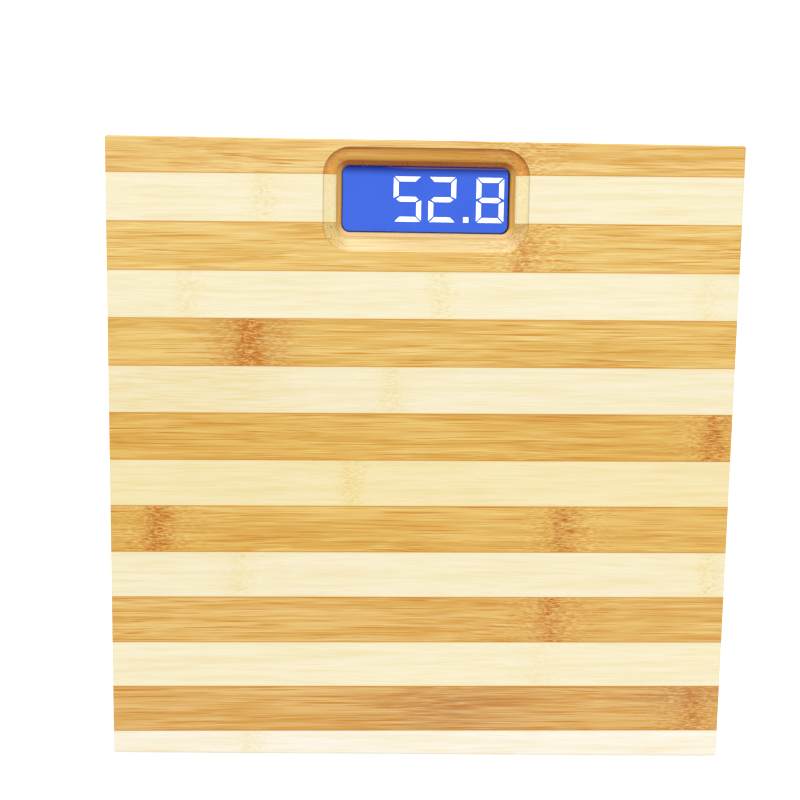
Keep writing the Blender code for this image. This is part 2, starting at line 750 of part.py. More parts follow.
def foot_holder():
    """A cap that is pressed into the foot's pocket, with rails for the load cell and a lip for the cup."""
    roof = CEILING - GAP
    profile = [
        (0.0, roof),
        (HOLDER_RADIUS, roof),
        (HOLDER_RADIUS, FLANGE_TOP),
        (HOLDER_FLANGE_RADIUS, FLANGE_TOP),
        (HOLDER_FLANGE_RADIUS, FLANGE_BOTTOM + GAP),
        (HOLDER_FLANGE_RADIUS - GAP, FLANGE_BOTTOM),
        (HOLDER_LIP_RADIUS, FLANGE_BOTTOM),
        (HOLDER_LIP_RADIUS, HOLDER_LIP_TOP),
        (HOLDER_BORE, HOLDER_LIP_TOP),
        (HOLDER_BORE, HOLDER_ROOF),
        (0.0, HOLDER_ROOF),
    ]
    holder = turned("foot_holder", profile)
    rails = [
        block(
            "rail",
            (-RAIL_HALF_LENGTH, y - RAIL_HALF_WIDTH, CELL_PLATE_TOP + GAP),
            (RAIL_HALF_LENGTH, y + RAIL_HALF_WIDTH, HOLDER_ROOF + CUT_MARGIN / 2),
        )
        for y in (-RAIL_Y, RAIL_Y)
    ]
    join(holder, *rails)
    notch_half = 2 * CABLE_RADIUS
    notch = block(
        "notch",
        (CUP_INSIDE_RADIUS, -notch_half, CABLE_IN_GROOVE_Z - 0.0017),
        (HOLDER_FLANGE_RADIUS, notch_half, CABLE_IN_GROOVE_Z + 0.0017),
    )
    screw = rod(
        "screw",
        SCREW_HOLE_RADIUS,
        (-HOLDER_SCREW_RADIUS, 0, FLANGE_BOTTOM - CUT_MARGIN),
        (-HOLDER_SCREW_RADIUS, 0, FLANGE_TOP + CUT_MARGIN),
        FINE_STEPS,
    )
    return painted(cut(holder, notch, screw), "housing")


def load_cell():
    """A square steel plate, slotted so that its middle is a tongue that bends towards the cable's side."""
    half, slot = CELL_PLATE / 2, TONGUE_SLOT / 2
    plate = block(
        "load_cell", (-half, -half, CELL_PLATE_BOTTOM), (half, half, CELL_PLATE_TOP), CELL_PLATE_RADIUS, 3
    )
    low, high = CELL_PLATE_BOTTOM - CUT_MARGIN, CELL_PLATE_TOP + CUT_MARGIN
    left, right, y = TONGUE_SLOT_LEFT, TONGUE_SLOT_RIGHT, TONGUE_SLOT_Y
    slots = [
        block("slot", (left, -y - slot, low), (right, -y + slot, high)),
        block("slot", (left, y - slot, low), (right, y + slot, high)),
        block("slot", (left - 0.0002, -y, low), (left + TONGUE_SLOT - 0.0002, y, high)),
    ]
    return painted(cut(plate, *slots), "steel")


def machine_screw():
    """A pan-head screw that points up, with its head under z = 0 and a cross recess in the head."""
    head = SCREW_HEAD_RADIUS
    profile = [
        (0.0, SCREW_LENGTH),
        (SCREW_SHANK_RADIUS, SCREW_LENGTH - 0.0015),
        (SCREW_SHANK_RADIUS, 0.0),
        (head, 0.0),
        (head, -0.45 * SCREW_HEAD_HEIGHT),
        (0.75 * head, -0.85 * SCREW_HEAD_HEIGHT),
        (0.0, -SCREW_HEAD_HEIGHT),
    ]
    screw = turned("screw", profile, steps=FINE_STEPS)
    long, thin, low, high = RECESS_HALF_LENGTH, RECESS_HALF_WIDTH, -0.0020, -0.0006
    slots = [
        block("slot_x", (-long, -thin, low), (long, thin, high)),
        block("slot_y", (-thin, -long, low), (thin, long, high - MERGE)),
    ]
    return painted(cut(screw, *slots), "screw")


def sensor_cable(foot):
    """The cable runs from the load cell along its groove to the circuit board's edge."""
    end, side = foot["place"].split("_")
    sign = -1 if side == "left" else 1
    straight = (
        (CABLE_START, CABLE_IN_GROOVE_Z + 0.0005),
        (0.0260, CABLE_IN_GROOVE_Z),
        (foot["groove_length"] * 0.6, CABLE_IN_GROOVE_Z),
    )
    route = [foot.matrix_world @ Vector((along, 0, z)) for along, z in straight]
    bends, spacing = (DISPLAY_BENDS, 0.005) if end == "display" else (HEEL_BENDS, 0.009)
    route += [Vector((sign * x, y, z)) for x, y, z in bends]
    cable = wire(f"sensor_cable_{foot['place']}", smooth_route(route, spacing), CABLE_RADIUS)
    painted(cable, "cable")


def feet_and_screws(feet):
    """Four feet from one set of shapes, and all the screws from another."""
    shapes = [foot_cup(), foot_pad(), foot_holder(), load_cell()]
    screw = machine_screw()
    head_level = FLANGE_BOTTOM - GAP
    for foot in feet:
        for shape in shapes:
            copy_of(shape, f"{shape.name}_{foot['place']}", shape.location, foot)
        place = (-HOLDER_SCREW_RADIUS, 0, head_level)
        copy_of(screw, f"holder_screw_{foot['place']}", place, foot)
        sensor_cable(foot)
    for number, (x, y) in enumerate(HOUSING_SCREWS, start=1):
        copy_of(screw, f"housing_screw_{number}", (x, y, head_level))
    for original in (*shapes, screw):
        bpy.data.objects.remove(original)


def main():
    clear_scene()
    new_collection("bathroom_scale")
    feet = foot_empties()
    face_ply()
    core_board(feet)
    display()
    electronics_housing()
    battery_cover()
    circuit()
    for number, (row, flat_end) in enumerate(zip(CELL_ROWS, CELL_FLAT_ENDS), start=1):
        battery_cell(f"battery_cell_{number}", row, flat_end)
    battery_contacts()
    feet_and_screws(feet)


main()
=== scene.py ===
"""Looks of the digital bathroom scale: a laminated bamboo board with a dished window over a blue display,
moulded load-cell feet and a moulded electronics housing underneath.

Metres, in the frame of the CAD: X to the right, Y towards the display edge, Z up from the floor.
"""

import math
from functools import partial, reduce

import bmesh
import bpy
from mathutils import Matrix, Vector, noise


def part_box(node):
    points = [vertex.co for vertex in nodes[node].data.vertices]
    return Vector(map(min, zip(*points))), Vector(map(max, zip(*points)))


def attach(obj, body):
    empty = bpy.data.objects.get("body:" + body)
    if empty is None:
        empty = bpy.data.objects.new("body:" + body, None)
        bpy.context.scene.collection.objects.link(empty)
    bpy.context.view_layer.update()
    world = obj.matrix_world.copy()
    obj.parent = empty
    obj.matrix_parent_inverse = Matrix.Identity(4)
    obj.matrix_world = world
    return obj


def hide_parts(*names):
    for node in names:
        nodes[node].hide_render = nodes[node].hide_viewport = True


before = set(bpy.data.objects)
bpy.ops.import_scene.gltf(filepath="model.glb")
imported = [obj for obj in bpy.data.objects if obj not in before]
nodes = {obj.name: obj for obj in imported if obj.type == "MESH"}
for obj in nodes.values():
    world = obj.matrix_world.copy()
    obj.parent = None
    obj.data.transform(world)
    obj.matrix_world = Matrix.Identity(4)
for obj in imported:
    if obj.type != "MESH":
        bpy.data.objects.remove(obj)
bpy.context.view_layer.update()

MM = 0.001
BODY = "scale_body"


def mm(*values):
    """Lengths given in millimetres, in metres."""
    return tuple(value * MM for value in values)


PLACES = ("display_left", "display_right", "heel_left", "heel_right")
HOUSING_SCREWS = [f"housing_screw_{number}" for number in range(1, 5)]
BATTERIES = ("battery_cell_1", "battery_cell_2")

# Levels and outlines that the CAD solids give
BOARD_LOW, BOARD_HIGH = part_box("core_board")[0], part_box("face_strip_07")[1]
HALF_BOARD = BOARD_HIGH.x
UNDERSIDE, TOP = BOARD_LOW.z, BOARD_HIGH.z
PLY_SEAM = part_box("face_strip_07")[0].z  # under the face ply
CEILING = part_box("foot_holder_heel_left")[1].z + 0.3 * MM  # of the pockets

# Board
CORNER, EASED_EDGE = 1.2, 0.8  # radii in mm
STRIP_SKEW = math.radians(0.43)
GLUE_LINE = 0.45  # mm over which the line between two strips fades
BACK_SEAM = 13.0  # level in mm, over the back ply
SLAT = 21 * MM  # width of the core ply's slats, which lie across the strips
FIRST_STRIP, LIGHT_STRIP, DARK_STRIP = 15.8 * MM, 22.3 * MM, 23.0 * MM

# Dish round the window. Each outline has half its width, half its depth, its centre's Y and the radius of
# its corners.
RIM = mm(48.5, 24.5, 122.0, 13.0)
LEDGE_EDGE = mm(42.9, 18.3, 122.8, 6.6)
OPENING = mm(39.9, 15.7, 122.8, 3.8)
LEDGE_DEPTH = 3.4 * MM
RIM_ROUND = 0.25 * MM  # how far the rim is rounded over
RIM_STEP = 0.45 * MM  # how far in the rim's steep part reaches, which is twice as deep
LEDGE, WALL = 6.0 * MM, 8.6 * MM  # mean reach from the rim to the ledge's edge and to the opening
BESIDE_DISH = (60, 55)  # distances in mm from the middle, between which the painted shade and light of the dish, and its evened grain, fade in

# Display
PRINT_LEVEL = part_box("lcd_panel")[1].z + 0.02 * MM  # of the digits and of the black frame round them
PRINT_HEIGHT = 0.06 * MM
DIGIT = mm(13.1, 21.2)
STROKE = 2.3 * MM
POINT = 2.5 * MM
SEGMENT_GAP = 0.52 * MM
DIGIT_BOTTOM = 112.5 * MM
READING = (("5", -15.2 * MM), ("2", 1.4 * MM), (".", 18.1 * MM), ("8", 24.2 * MM))
SEGMENTS_LIT = {"5": "afgcd", "2": "abged", "8": "abcdefg"}

# Underside
GROOVE_HALF_WIDTH, GROOVE_DEPTH = mm(2.5, 5.5)
POCKET_RADIUS = 25.7 * MM
FLANGE_LOW, FLANGE_HIGH = UNDERSIDE - 1.6 * MM, UNDERSIDE - 0.3 * MM  # of the housing and the foot holders
SCREW_HOLE, SCREW_TIP = 1.3 * MM, UNDERSIDE + 7.8 * MM
HOLDER_SCREW_RADIUS = 28.6 * MM  # from the foot's centre
CABLE_WIRE, SPRING_WIRE = 0.45 * MM, 0.4 * MM  # radii


# Colours and shader nodes


def srgb(red, green, blue):
    """A colour given as 0 to 255 display values, in the linear values that shaders take."""
    channels = (value / 255 for value in (red, green, blue))
    return (*(c / 12.92 if c <= 0.04045 else ((c + 0.055) / 1.055) ** 2.4 for c in channels), 1.0)


def dimmed(colour, share):
    return (*(share * channel for channel in colour[:3]), 1.0)


WHITE = (1.0, 1.0, 1.0, 1.0)


class Shader:
    """One material, with short calls that add nodes to it and link them."""

    def __init__(self, name, turn=0.0):
        """Its place is the coordinates on the piece in millimetres, turned about Z."""
        self.material = bpy.data.materials.new(name)
        self.material.use_nodes = True
        self.tree = self.material.node_tree
        self.surface = self.tree.nodes["Principled BSDF"]
        coordinates = self.node("TexCoord").outputs["Object"]
        self.place = self.node("Mapping", coordinates, None, (0, 0, turn), (1000, 1000, 1000)).outputs[0]

    def put(self, socket, value):
        if isinstance(value, bpy.types.NodeSocket):
            self.tree.links.new(value, socket)
        else:
            socket.default_value = value

    def set(self, **values):
        """Values for the Principled shader, with socket names in lower case and _ for spaces."""
        sockets = {socket.name.lower().replace(" ", "_"): socket for socket in self.surface.inputs}
        for name, value in values.items():
            self.put(sockets[name], value)

    def node(self, kind, *inputs, **settings):
        made = self.tree.nodes.new("ShaderNode" + kind)
        for name, value in settings.items():
            setattr(made, name, value)
        for socket, value in zip(made.inputs, inputs):
            if value is not None:
                self.put(socket, value)
        return made

    def fill(self, made, **values):
        """Gives a node's inputs their values, with _ for spaces in their names."""
        for name, value in values.items():
            self.put(made.inputs[name.replace("_", " ")], value)
        return made

    def math(self, operation, *values, clamp=False):
        return self.node("Math", *values, operation=operation, use_clamp=clamp).outputs[0]

    def total(self, *values):
        return reduce(partial(self.math, "ADD"), values)

    def times(self, *values):
        return reduce(partial(self.math, "MULTIPLY"), values)

    def minus(self, first, second):
        return self.math("SUBTRACT", first, second)

    def split(self, place):
        return self.node("SeparateXYZ", place).outputs

    def shifted(self, place, by):
        return self.node("VectorMath", place, by, operation="ADD").outputs[0]

    def stretched(self, place, lengths):
        """Coordinates divided by lengths in mm: one for all axes, one for X and one for Y and Z, or three."""
        lengths = lengths if isinstance(lengths, tuple) else (lengths,)
        scale = tuple(1 / length for length in (*lengths, lengths[-1], lengths[-1])[:3])
        return self.node("VectorMath", place, scale, operation="MULTIPLY").outputs[0]

    def noise(self, place, lengths, detail=2.0, roughness=0.5):
        made = self.node("TexNoise", self.stretched(place, lengths))
        return self.fill(made, Scale=1.0, Detail=detail, Roughness=roughness).outputs["Fac"]

    def cells(self, place, lengths, feature="F1"):
        made = self.node("TexVoronoi", self.stretched(place, lengths), feature=feature)
        return self.fill(made, Scale=1.0).outputs["Distance"]

    def step(self, value, low, high):
        """A smooth rise from 0 at low to 1 at high, or a fall where low is the higher."""
        made = self.node("MapRange", interpolation_type="SMOOTHSTEP")
        return self.fill(made, Value=value, From_Min=low, From_Max=high).outputs["Result"]

    def bell(self, offset, width):
        """1 where the offset in millimetres is 0, fading over the width."""
        squared = self.math("POWER", self.math("DIVIDE", offset, width), 2.0)
        return self.math("EXPONENT", self.times(squared, -1.0))

    def ramp(self, value, *stops):
        made = self.node("ValToRGB", value)
        elements = made.color_ramp.elements
        while len(elements) < len(stops):
            elements.new(0.5)
        for element, (position, colour) in zip(elements, stops):
            element.position, element.color = position, colour
        return made.outputs["Color"]

    def mix(self, amount, first, second, blend="MIX"):
        made = self.node("Mix", data_type="RGBA", blend_type=blend)
        for index, value in ((0, amount), (6, first), (7, second)):
            self.put(made.inputs[index], value)
        return made.outputs[2]

    def bump(self, height, distance, strength):
        """Adds a bump with its height in millimetres, and returns the finished material."""
        made = self.fill(self.node("Bump"), Height=height, Distance=distance * MM, Strength=strength)
        self.set(normal=made.outputs["Normal"])
        return self.material


# Bamboo

BROAD_STOPS = (0.30, 0.50, 0.70)  # of the three broad tones
TONES = {  # colours, then lengths (mm) and strengths of the marks
    "dark": {
        "broad": (srgb(241, 204, 134), srgb(233, 188, 106), srgb(223, 170, 80)),
        "line": srgb(213, 137, 12),
        "pale": srgb(250, 224, 164),
        "knot": srgb(196, 108, 0),
        "halo": srgb(212, 136, 24),
        "fibre": (0.7, 0.74),
        "dash": (5.0, 0.50),
        "strength": (1.04, 0.62, 1.30, 0.60),
    },
    "light": {
        "broad": (srgb(251, 243, 213), srgb(250, 240, 205), srgb(247, 234, 191)),
        "line": srgb(242, 220, 150),
        "pale": srgb(254, 250, 232),
        "knot": srgb(234, 202, 92),
        "halo": srgb(249, 235, 178),
        "fibre": (0.42, 0.68),
        "dash": (2.2, 0.70),
        "strength": (0.47, 0.40, 0.46, 0.14),
    },
}
RED, ORANGE, YELLOW = (
    (srgb(210, 154, 96), srgb(186, 122, 74)),
    (srgb(200, 122, 30), srgb(190, 108, 20)),
    (srgb(246, 230, 178), srgb(243, 220, 156)),
)
STRETCHES = {  # of another tone, by strip: x, reach along it, y, reach along it (mm), and the tones
    5: ((-82, 18, 55, 90, ORANGE),),
    6: ((-118, 60, 33, 90, YELLOW),),
    13: ((18, 42, -126, 16, RED), (128, 30, -119, 6, RED)),
}
DISH_LIGHT_TINTS = {  # painted shade and light: tints at the dish's rim and on its slope, by strip; strip 1 is shaded darker and warmer, strip 2 a little warmer, strip 3 lit paler
    1: ((0.86, 0.62, 0.44), (1.06, 0.88, 0.62)),
    2: ((1.00, 0.96, 0.86), (1.05, 1.01, 0.86)),
    3: ((1.00, 1.02, 1.10), (0.93, 1.05, 1.43)),
}
STRIPS = (  # from the display edge: tint, then the place (mm from the middle) and strength of each knuckle
    ((1.015, 1.055, 0.985), (46, 0.2)),
    ((1.0, 0.99, 0.975), (-75, 0.7)),
    ((1.02, 1.075, 0.95), (48, 0.5)),
    ((0.995, 0.99, 0.98), (-111, 0.6), (9, 0.7), (136, 0.5)),
    ((0.99, 1.025, 0.85), (-82, 1.7)),
    ((0.978, 0.965, 0.947), (-14, 0.7)),
    ((0.945, 0.905, 0.587), (142, 0.95)),
    ((0.967, 0.907, 0.734), (-33, 1.10)),
    ((0.95, 0.92, 0.63), (-127, 1.05), (70, 0.7)),
    ((0.98, 0.963, 0.933), (-88, 0.6), (142, 0.9)),
    ((0.953, 0.923, 0.77), (64, 0.75)),
    ((0.99, 0.975, 0.945), (60, 0.35)),
    ((0.914, 0.847, 0.741), (136, 0.55)),
    ((1.013, 1.037, 1.21), (-83, 0.7)),
)


def bamboo(name, tone, number, knuckles, borders, tint):
    """A strip's bamboo, with its fibres along X. Knuckles are x positions in millimetres with their
    strengths, and borders are y positions of glue lines in millimetres."""
    s = Shader(name, -STRIP_SKEW)
    look = TONES[tone]
    lines, glow, knots, flecked = look["strength"]
    x, y, z = s.split(s.place)
    seeded = (number * 317.0, number * 83.0, number * 41.0)
    local = s.shifted(s.place, seeded)

    def swing(lengths, reach, detail=1.0):
        return s.times(s.minus(s.noise(local, lengths, detail), 0.5), reach)

    # A knuckle has a jagged band of dashes, a pale halo, a wider zone of flecks, and a seam at one side
    jag = swing((60, 2.0), 9.0, 3.0)
    band, halo, zone, seam = 0.0, 0.0, 0.0, 0.0
    for at, strength in knuckles:
        offset = s.total(s.minus(x, at), jag)
        band = s.total(band, s.times(s.bell(offset, 5.5), strength))
        halo = s.total(halo, s.times(s.bell(s.total(offset, 1.0), 8.0), strength))
        zone = s.total(zone, s.bell(offset, 18.0))
        seam = s.total(seam, s.times(s.bell(s.total(offset, 3.0), 2.6), strength))
    unrest = s.total(s.times(band, 0.45), s.times(zone, 0.55))
    sway = s.total(swing((170, 24), 5.0), s.times(swing((4.5, 1.8), 2.2), unrest))
    clumps = s.total(0.95, swing((6, 3), 2.4))
    shift = s.node("CombineXYZ", 0.0, sway, sway).outputs[0]
    fibres = s.shifted(local, shift)

    long, thick = look["fibre"]
    broad = s.noise(fibres, (140 * long, 3.2), 1.0)
    streak = s.noise(fibres, (64 * long, 0.85 * thick), 1.5, 0.5)
    fine = s.noise(fibres, (38 * long, 0.42 * thick), 1.0, 0.4)
    dashes = s.noise(fibres, look["dash"], 1.0, 0.3)
    flecks = s.noise(fibres, (2.8, 0.42), 1.0, 0.3)
    specks = s.noise(fibres, (2.0, 0.80), 1.0, 0.3)

    def marked(colour, value, low, high, strength, target):
        amount = s.math("MULTIPLY", s.step(value, low, high), strength, clamp=True)
        return s.mix(amount, colour, target)

    calm = s.minus(1.0, s.times(band, 0.6))
    colour = s.ramp(broad, *zip(BROAD_STOPS, look["broad"]))
    for at_x, reach_x, at_y, reach_y, (wash, line) in STRETCHES.get(number, ()):
        along = s.bell(s.minus(x, at_x), reach_x)
        stretch = s.times(along, s.bell(s.minus(y, at_y), reach_y))
        colour = s.mix(s.times(stretch, 0.40), colour, wash)
        colour = marked(colour, streak, 0.42, 0.60, s.times(stretch, 0.8), line)
    colour = marked(colour, streak, 0.55, 0.70, s.times(calm, lines), look["line"])
    colour = marked(colour, fine, 0.55, 0.70, s.times(calm, glow), look["pale"])
    colour = marked(colour, fine, 0.44, 0.30, s.times(calm, 0.5 * lines), look["line"])
    colour = s.mix(s.math("MULTIPLY", halo, 0.40, clamp=True), colour, look["halo"])
    colour = marked(colour, flecks, 0.51, 0.63, s.times(zone, flecked), look["line"])
    between = s.times(zone, flecked, s.math("MAXIMUM", calm, 0.0))
    colour = marked(colour, flecks, 0.47, 0.36, between, look["pale"])
    knotted = s.times(band, clumps, knots)
    colour = marked(colour, dashes, 0.49, 0.61, knotted, look["knot"])
    colour = marked(colour, dashes, 0.45, 0.36, s.times(band, 0.25 * knots), look["pale"])
    colour = marked(colour, specks, 0.50, 0.64, s.times(seam, 0.6 * knots), look["knot"])
    for at in borders:
        colour = s.mix(s.times(s.bell(s.minus(y, at), GLUE_LINE), lines), colour, look["line"])
    colour = s.mix(1.0, colour, tint, "MULTIPLY")
    if number in DISH_LIGHT_TINTS:
        from_middle = s.math("ABSOLUTE", x)
        depth = s.minus(TOP / MM, z)
        inside = s.times(s.step(from_middle, *BESIDE_DISH), s.step(y, 148.4, 147.4))
        at_rim = s.times(s.step(depth, 0.05, 0.30), s.step(depth, 2.1, 1.0))
        on_slope = s.step(depth, 0.6, 1.6)
        evened = s.times(on_slope, inside, 0.25)
        colour = s.mix(evened, colour, look["broad"][1])
        pores = s.noise(s.place, (0.9, 0.8), 1.0)
        end_grain = s.times(s.step(from_middle, 37, 43), s.times(evened, 2.2))
        colour = marked(colour, pores, 0.50, 0.64, end_grain, look["line"])
        # Painted shade and light: the rim and slope are tinted by strip, darker where shade falls and paler
        # where light falls
        for share, shade in zip((at_rim, on_slope), DISH_LIGHT_TINTS[number]):
            colour = s.mix(s.times(share, inside), colour, (*shade, 1.0), "MULTIPLY")

    gloss = s.total(0.40, s.times(streak, 0.16))
    s.set(base_color=colour, roughness=gloss, coat_weight=0.12, coat_roughness=0.35)
    height = s.total(streak, fine, s.times(dashes, band, 1.5))
    return s.bump(height, 0.05, 0.35)


def core_bamboo():
    """The core ply, carbonised and with its fibres across those of the face, over a striped back ply."""
    s = Shader("bamboo_core")
    x, y, z = s.split(s.place)
    across = s.noise(s.place, (0.55, 26, 0.55), 3.0, 0.6)
    layers = s.noise(s.place, (14, 60, 1.3), 2.0)
    grain = s.total(s.times(across, 0.55), s.times(layers, 0.45))
    core = s.ramp(grain, (0.33, srgb(248, 206, 118)), (0.50, srgb(234, 179, 86)), (0.67, srgb(198, 128, 42)))
    slat = s.math("PINGPONG", s.total(x, 9.0), 0.5 * SLAT / MM)
    core = s.mix(s.times(s.bell(slat, 0.22), 0.5), core, srgb(160, 98, 40))
    window = s.step(s.math("ABSOLUTE", x), *BESIDE_DISH)
    # Painted shade darkens the dish's wall on the display-edge side, and painted light makes its heel-side
    # wall paler
    north_wall_shade, south_wall_light = (s.times(s.bell(s.minus(y, at), 2.6), window) for at in (140.0, 105.6))
    core = s.mix(north_wall_shade, core, (0.80, 0.42, 0.18, 1.0), "MULTIPLY")
    core = s.mix(s.times(south_wall_light, 0.8), core, srgb(243, 211, 159))
    # Painted shade darkens the foot of the dish's wall, where it meets the lens, except on the heel side
    wall_foot_shade = s.times(s.step(z, 18.5, 17.5), s.times(window, s.step(y, 108, 112)))
    core = s.mix(s.times(wall_foot_shade, 0.75), core, (0.62, 0.46, 0.34, 1.0), "MULTIPLY")

    period = (LIGHT_STRIP + DARK_STRIP) / MM
    pairs = s.math("DIVIDE", s.total(y, 200.0), period)
    strip = s.math("FLOOR", pairs)
    is_dark = s.math("LESS_THAN", s.math("FRACT", pairs), DARK_STRIP / MM / period)
    jump = s.node("CombineXYZ", s.times(s.total(strip, is_dark), 137.0), 0.0, 0.0).outputs[0]
    along = s.shifted(s.place, jump)
    broad = s.noise(along, (70, 2.0), 2.0)
    streak = s.noise(along, (28, 0.6), 3.0, 0.6)
    grain = s.total(s.times(broad, 0.5), s.times(streak, 0.5))
    number = s.total(s.times(strip, 2.0), is_dark)
    chance = s.node("TexWhiteNoise", None, number, noise_dimensions="1D").outputs["Value"]
    jag = s.times(s.noise(along, (60, 2.0), 3.0), 9.0)
    knuckle = s.minus(s.total(x, jag), s.times(chance, 240.0))
    band = s.bell(s.total(knuckle, 116.0), 6.0)
    dashes = s.noise(along, (5.2, 0.58), 1.0, 0.3)
    plies = {}
    for tone, look in TONES.items():
        ply = s.ramp(grain, *zip(BROAD_STOPS, look["broad"]))
        knotted = s.times(s.step(dashes, 0.46, 0.64), band, 0.45 * look["strength"][2])
        plies[tone] = s.mix(knotted, ply, look["knot"])
    back = s.mix(1.0, s.mix(is_dark, plies["light"], plies["dark"]), (0.86, 0.85, 0.84, 1.0), "MULTIPLY")
    back_ply = s.step(z, BACK_SEAM + 0.05, BACK_SEAM - 0.05)
    colour = s.mix(back_ply, core, back)
    for seam in (BACK_SEAM, PLY_SEAM / MM):
        colour = s.mix(s.times(s.bell(s.minus(z, seam), 0.14), 0.55), colour, srgb(120, 74, 34))
    s.set(base_color=colour, roughness=s.total(0.42, s.times(streak, 0.2)))
    return s.bump(s.total(streak, across), 0.06, 0.4)


# Other materials


def speckled(name, size, detail, low, high, roughness, bump, stops=(0.3, 0.7), **more):
    """A simple material whose colour and height follow one noise, or cells where no detail is given. Size is
    their length in mm."""
    s = Shader(name)
    marks = s.noise(s.place, size, detail) if detail else s.cells(s.place, size)
    s.set(base_color=s.ramp(marks, *zip(stops, (low, high))), roughness=roughness, **more)
    return s.bump(marks, *bump)


def insulation(name, colour):
    return speckled(name, 2.0, 2.0, dimmed(colour, 0.75), colour, 0.38, (0.02, 0.3))


def moulded(name, colour, roughness):
    """Moulded plastic with a fine spark-eroded texture and slight unevenness."""
    s = Shader(name)
    pits = s.noise(s.place, 0.35, 2.0)
    flow = s.noise(s.place, (30, 22), 3.0)
    tint = s.ramp(flow, (0.3, dimmed(colour, 0.86)), (0.7, colour))
    uneven = s.total(roughness - 0.06, s.times(pits, 0.12))
    s.set(base_color=tint, roughness=uneven)
    return s.bump(pits, 0.04, 0.5)


def rubber():
    s = Shader("rubber_pad")
    dust = s.noise(s.place, 6, 4.0, 0.6)
    pores = s.noise(s.place, 0.25, 1.0)
    colour = s.ramp(dust, (0.35, srgb(58, 58, 60)), (0.7, srgb(84, 84, 86)))
    s.set(base_color=colour, roughness=s.total(0.72, s.times(dust, 0.2)))
    return s.bump(pores, 0.05, 0.4)


def metal(name, colour, roughness, brush=(0.12, 12)):
    """Metal with fine drawing or brushing marks along the axis with the longest length."""
    s = Shader(name)
    marks = s.noise(s.place, brush, 3.0)
    stains = s.noise(s.place, 9, 3.0)
    tint = s.ramp(stains, (0.35, dimmed(colour, 0.8)), (0.65, colour))
    s.set(base_color=tint, metallic=1.0, roughness=s.total(roughness, s.times(marks, 0.18)))
    return s.bump(marks, 0.02, 0.3)


def lens_acrylic():
    s = Shader("lens_acrylic")
    haze = s.noise(s.place, 8, 3.0)
    s.set(
        base_color=WHITE, roughness=s.times(haze, 0.03), transmission_weight=1.0,
        specular_tint=(0.35, 0.35, 0.38, 1.0), ior=1.45,
    )
    return s.material


def lcd_glass():
    """The blue field: its backlight is even, with a painted shadow of the dish's display-edge wall over the
    top of the field. A thin line there is a painted reflection of that wall's wood."""
    s = Shader("lcd_glass")
    x, y, _ = s.split(s.place)
    edge = (OPENING[2] + OPENING[1]) / MM
    # Painted shadow of the dish's display-edge wall, darkening the top of the blue field
    fall = s.math("POWER", s.step(y, edge - 5.6, edge + 0.5), 1.2)
    mottle = s.noise(s.place, (24, 18), 2.0)
    lit = s.ramp(mottle, (0.3, srgb(65, 109, 238)), (0.7, srgb(69, 113, 242)))
    glow = s.mix(fall, lit, srgb(0, 12, 112))
    # Painted reflection of the wall's wood in the lens: a thin orange-brown line along the top, on the right
    wall_reflection_line = s.times(s.bell(s.minus(y, edge - 0.75), 0.18), s.step(x, -22, -4))
    glow = s.mix(s.times(wall_reflection_line, 0.9), glow, srgb(160, 112, 90))
    s.set(
        base_color=srgb(2, 6, 28), roughness=0.25, specular_ior_level=0.1, emission_color=glow,
        emission_strength=0.92,
    )
    return s.material


def digit_light():
    s = Shader("digit_light")
    glow = s.noise(s.place, 9, 2.0)
    colour = s.ramp(glow, (0.3, srgb(247, 250, 255)), (0.7, WHITE))
    s.set(base_color=srgb(225, 230, 240), roughness=0.4, emission_color=colour, emission_strength=1.0)
    return s.material


def elastomer():
    """Thin carbon layers across a pink elastomer strip."""
    s = Shader("elastomer")
    x = s.split(s.place)[0]
    layers = s.math("LESS_THAN", s.math("FRACT", s.times(x, 5.0)), 0.45)
    s.set(base_color=s.mix(layers, srgb(224, 148, 156), srgb(30, 28, 28)), roughness=0.7)
    return s.bump(layers, 0.02, 0.3)


def solder_mask():
    """Green solder mask over raised copper tracks."""
    s = Shader("solder_mask")
    tracks = s.cells(s.place, (7, 3, 7), "DISTANCE_TO_EDGE")
    track = s.step(tracks, 0.09, 0.06)
    weave = s.noise(s.place, 0.6, 1.0)
    mask = s.ramp(weave, (0.3, srgb(10, 84, 44)), (0.7, srgb(14, 98, 52)))
    s.set(base_color=s.mix(track, mask, srgb(28, 128, 70)), roughness=0.35, coat_weight=0.4)
    return s.bump(track, 0.04, 0.5)


def battery_sleeve():
    """A plain printed sleeve: dark body, silver band at the positive end of each cell, bare metal ends."""
    s = Shader("battery_sleeve")
    z = s.split(s.place)[2]
    low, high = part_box("battery_cell_1")
    length = (high.x - low.x) / MM
    band = s.step(z, length - 13.0, length - 12.8)
    bare = s.math("MAXIMUM", s.step(z, 0.9, 0.7), s.step(z, length - 1.9, length - 1.7))
    scuffs = s.noise(s.place, (1.2, 1.2, 8), 4.0)
    body = s.ramp(scuffs, (0.3, srgb(20, 52, 96)), (0.7, srgb(28, 66, 116)))
    colour = s.mix(band, body, srgb(196, 200, 204))
    colour = s.mix(bare, colour, srgb(205, 205, 200))
    metallic = s.math("ADD", s.times(band, 0.5), bare, clamp=True)
    s.set(base_color=colour, roughness=s.total(0.2, s.times(scuffs, 0.2)), metallic=metallic)
    return s.bump(scuffs, 0.01, 0.3)


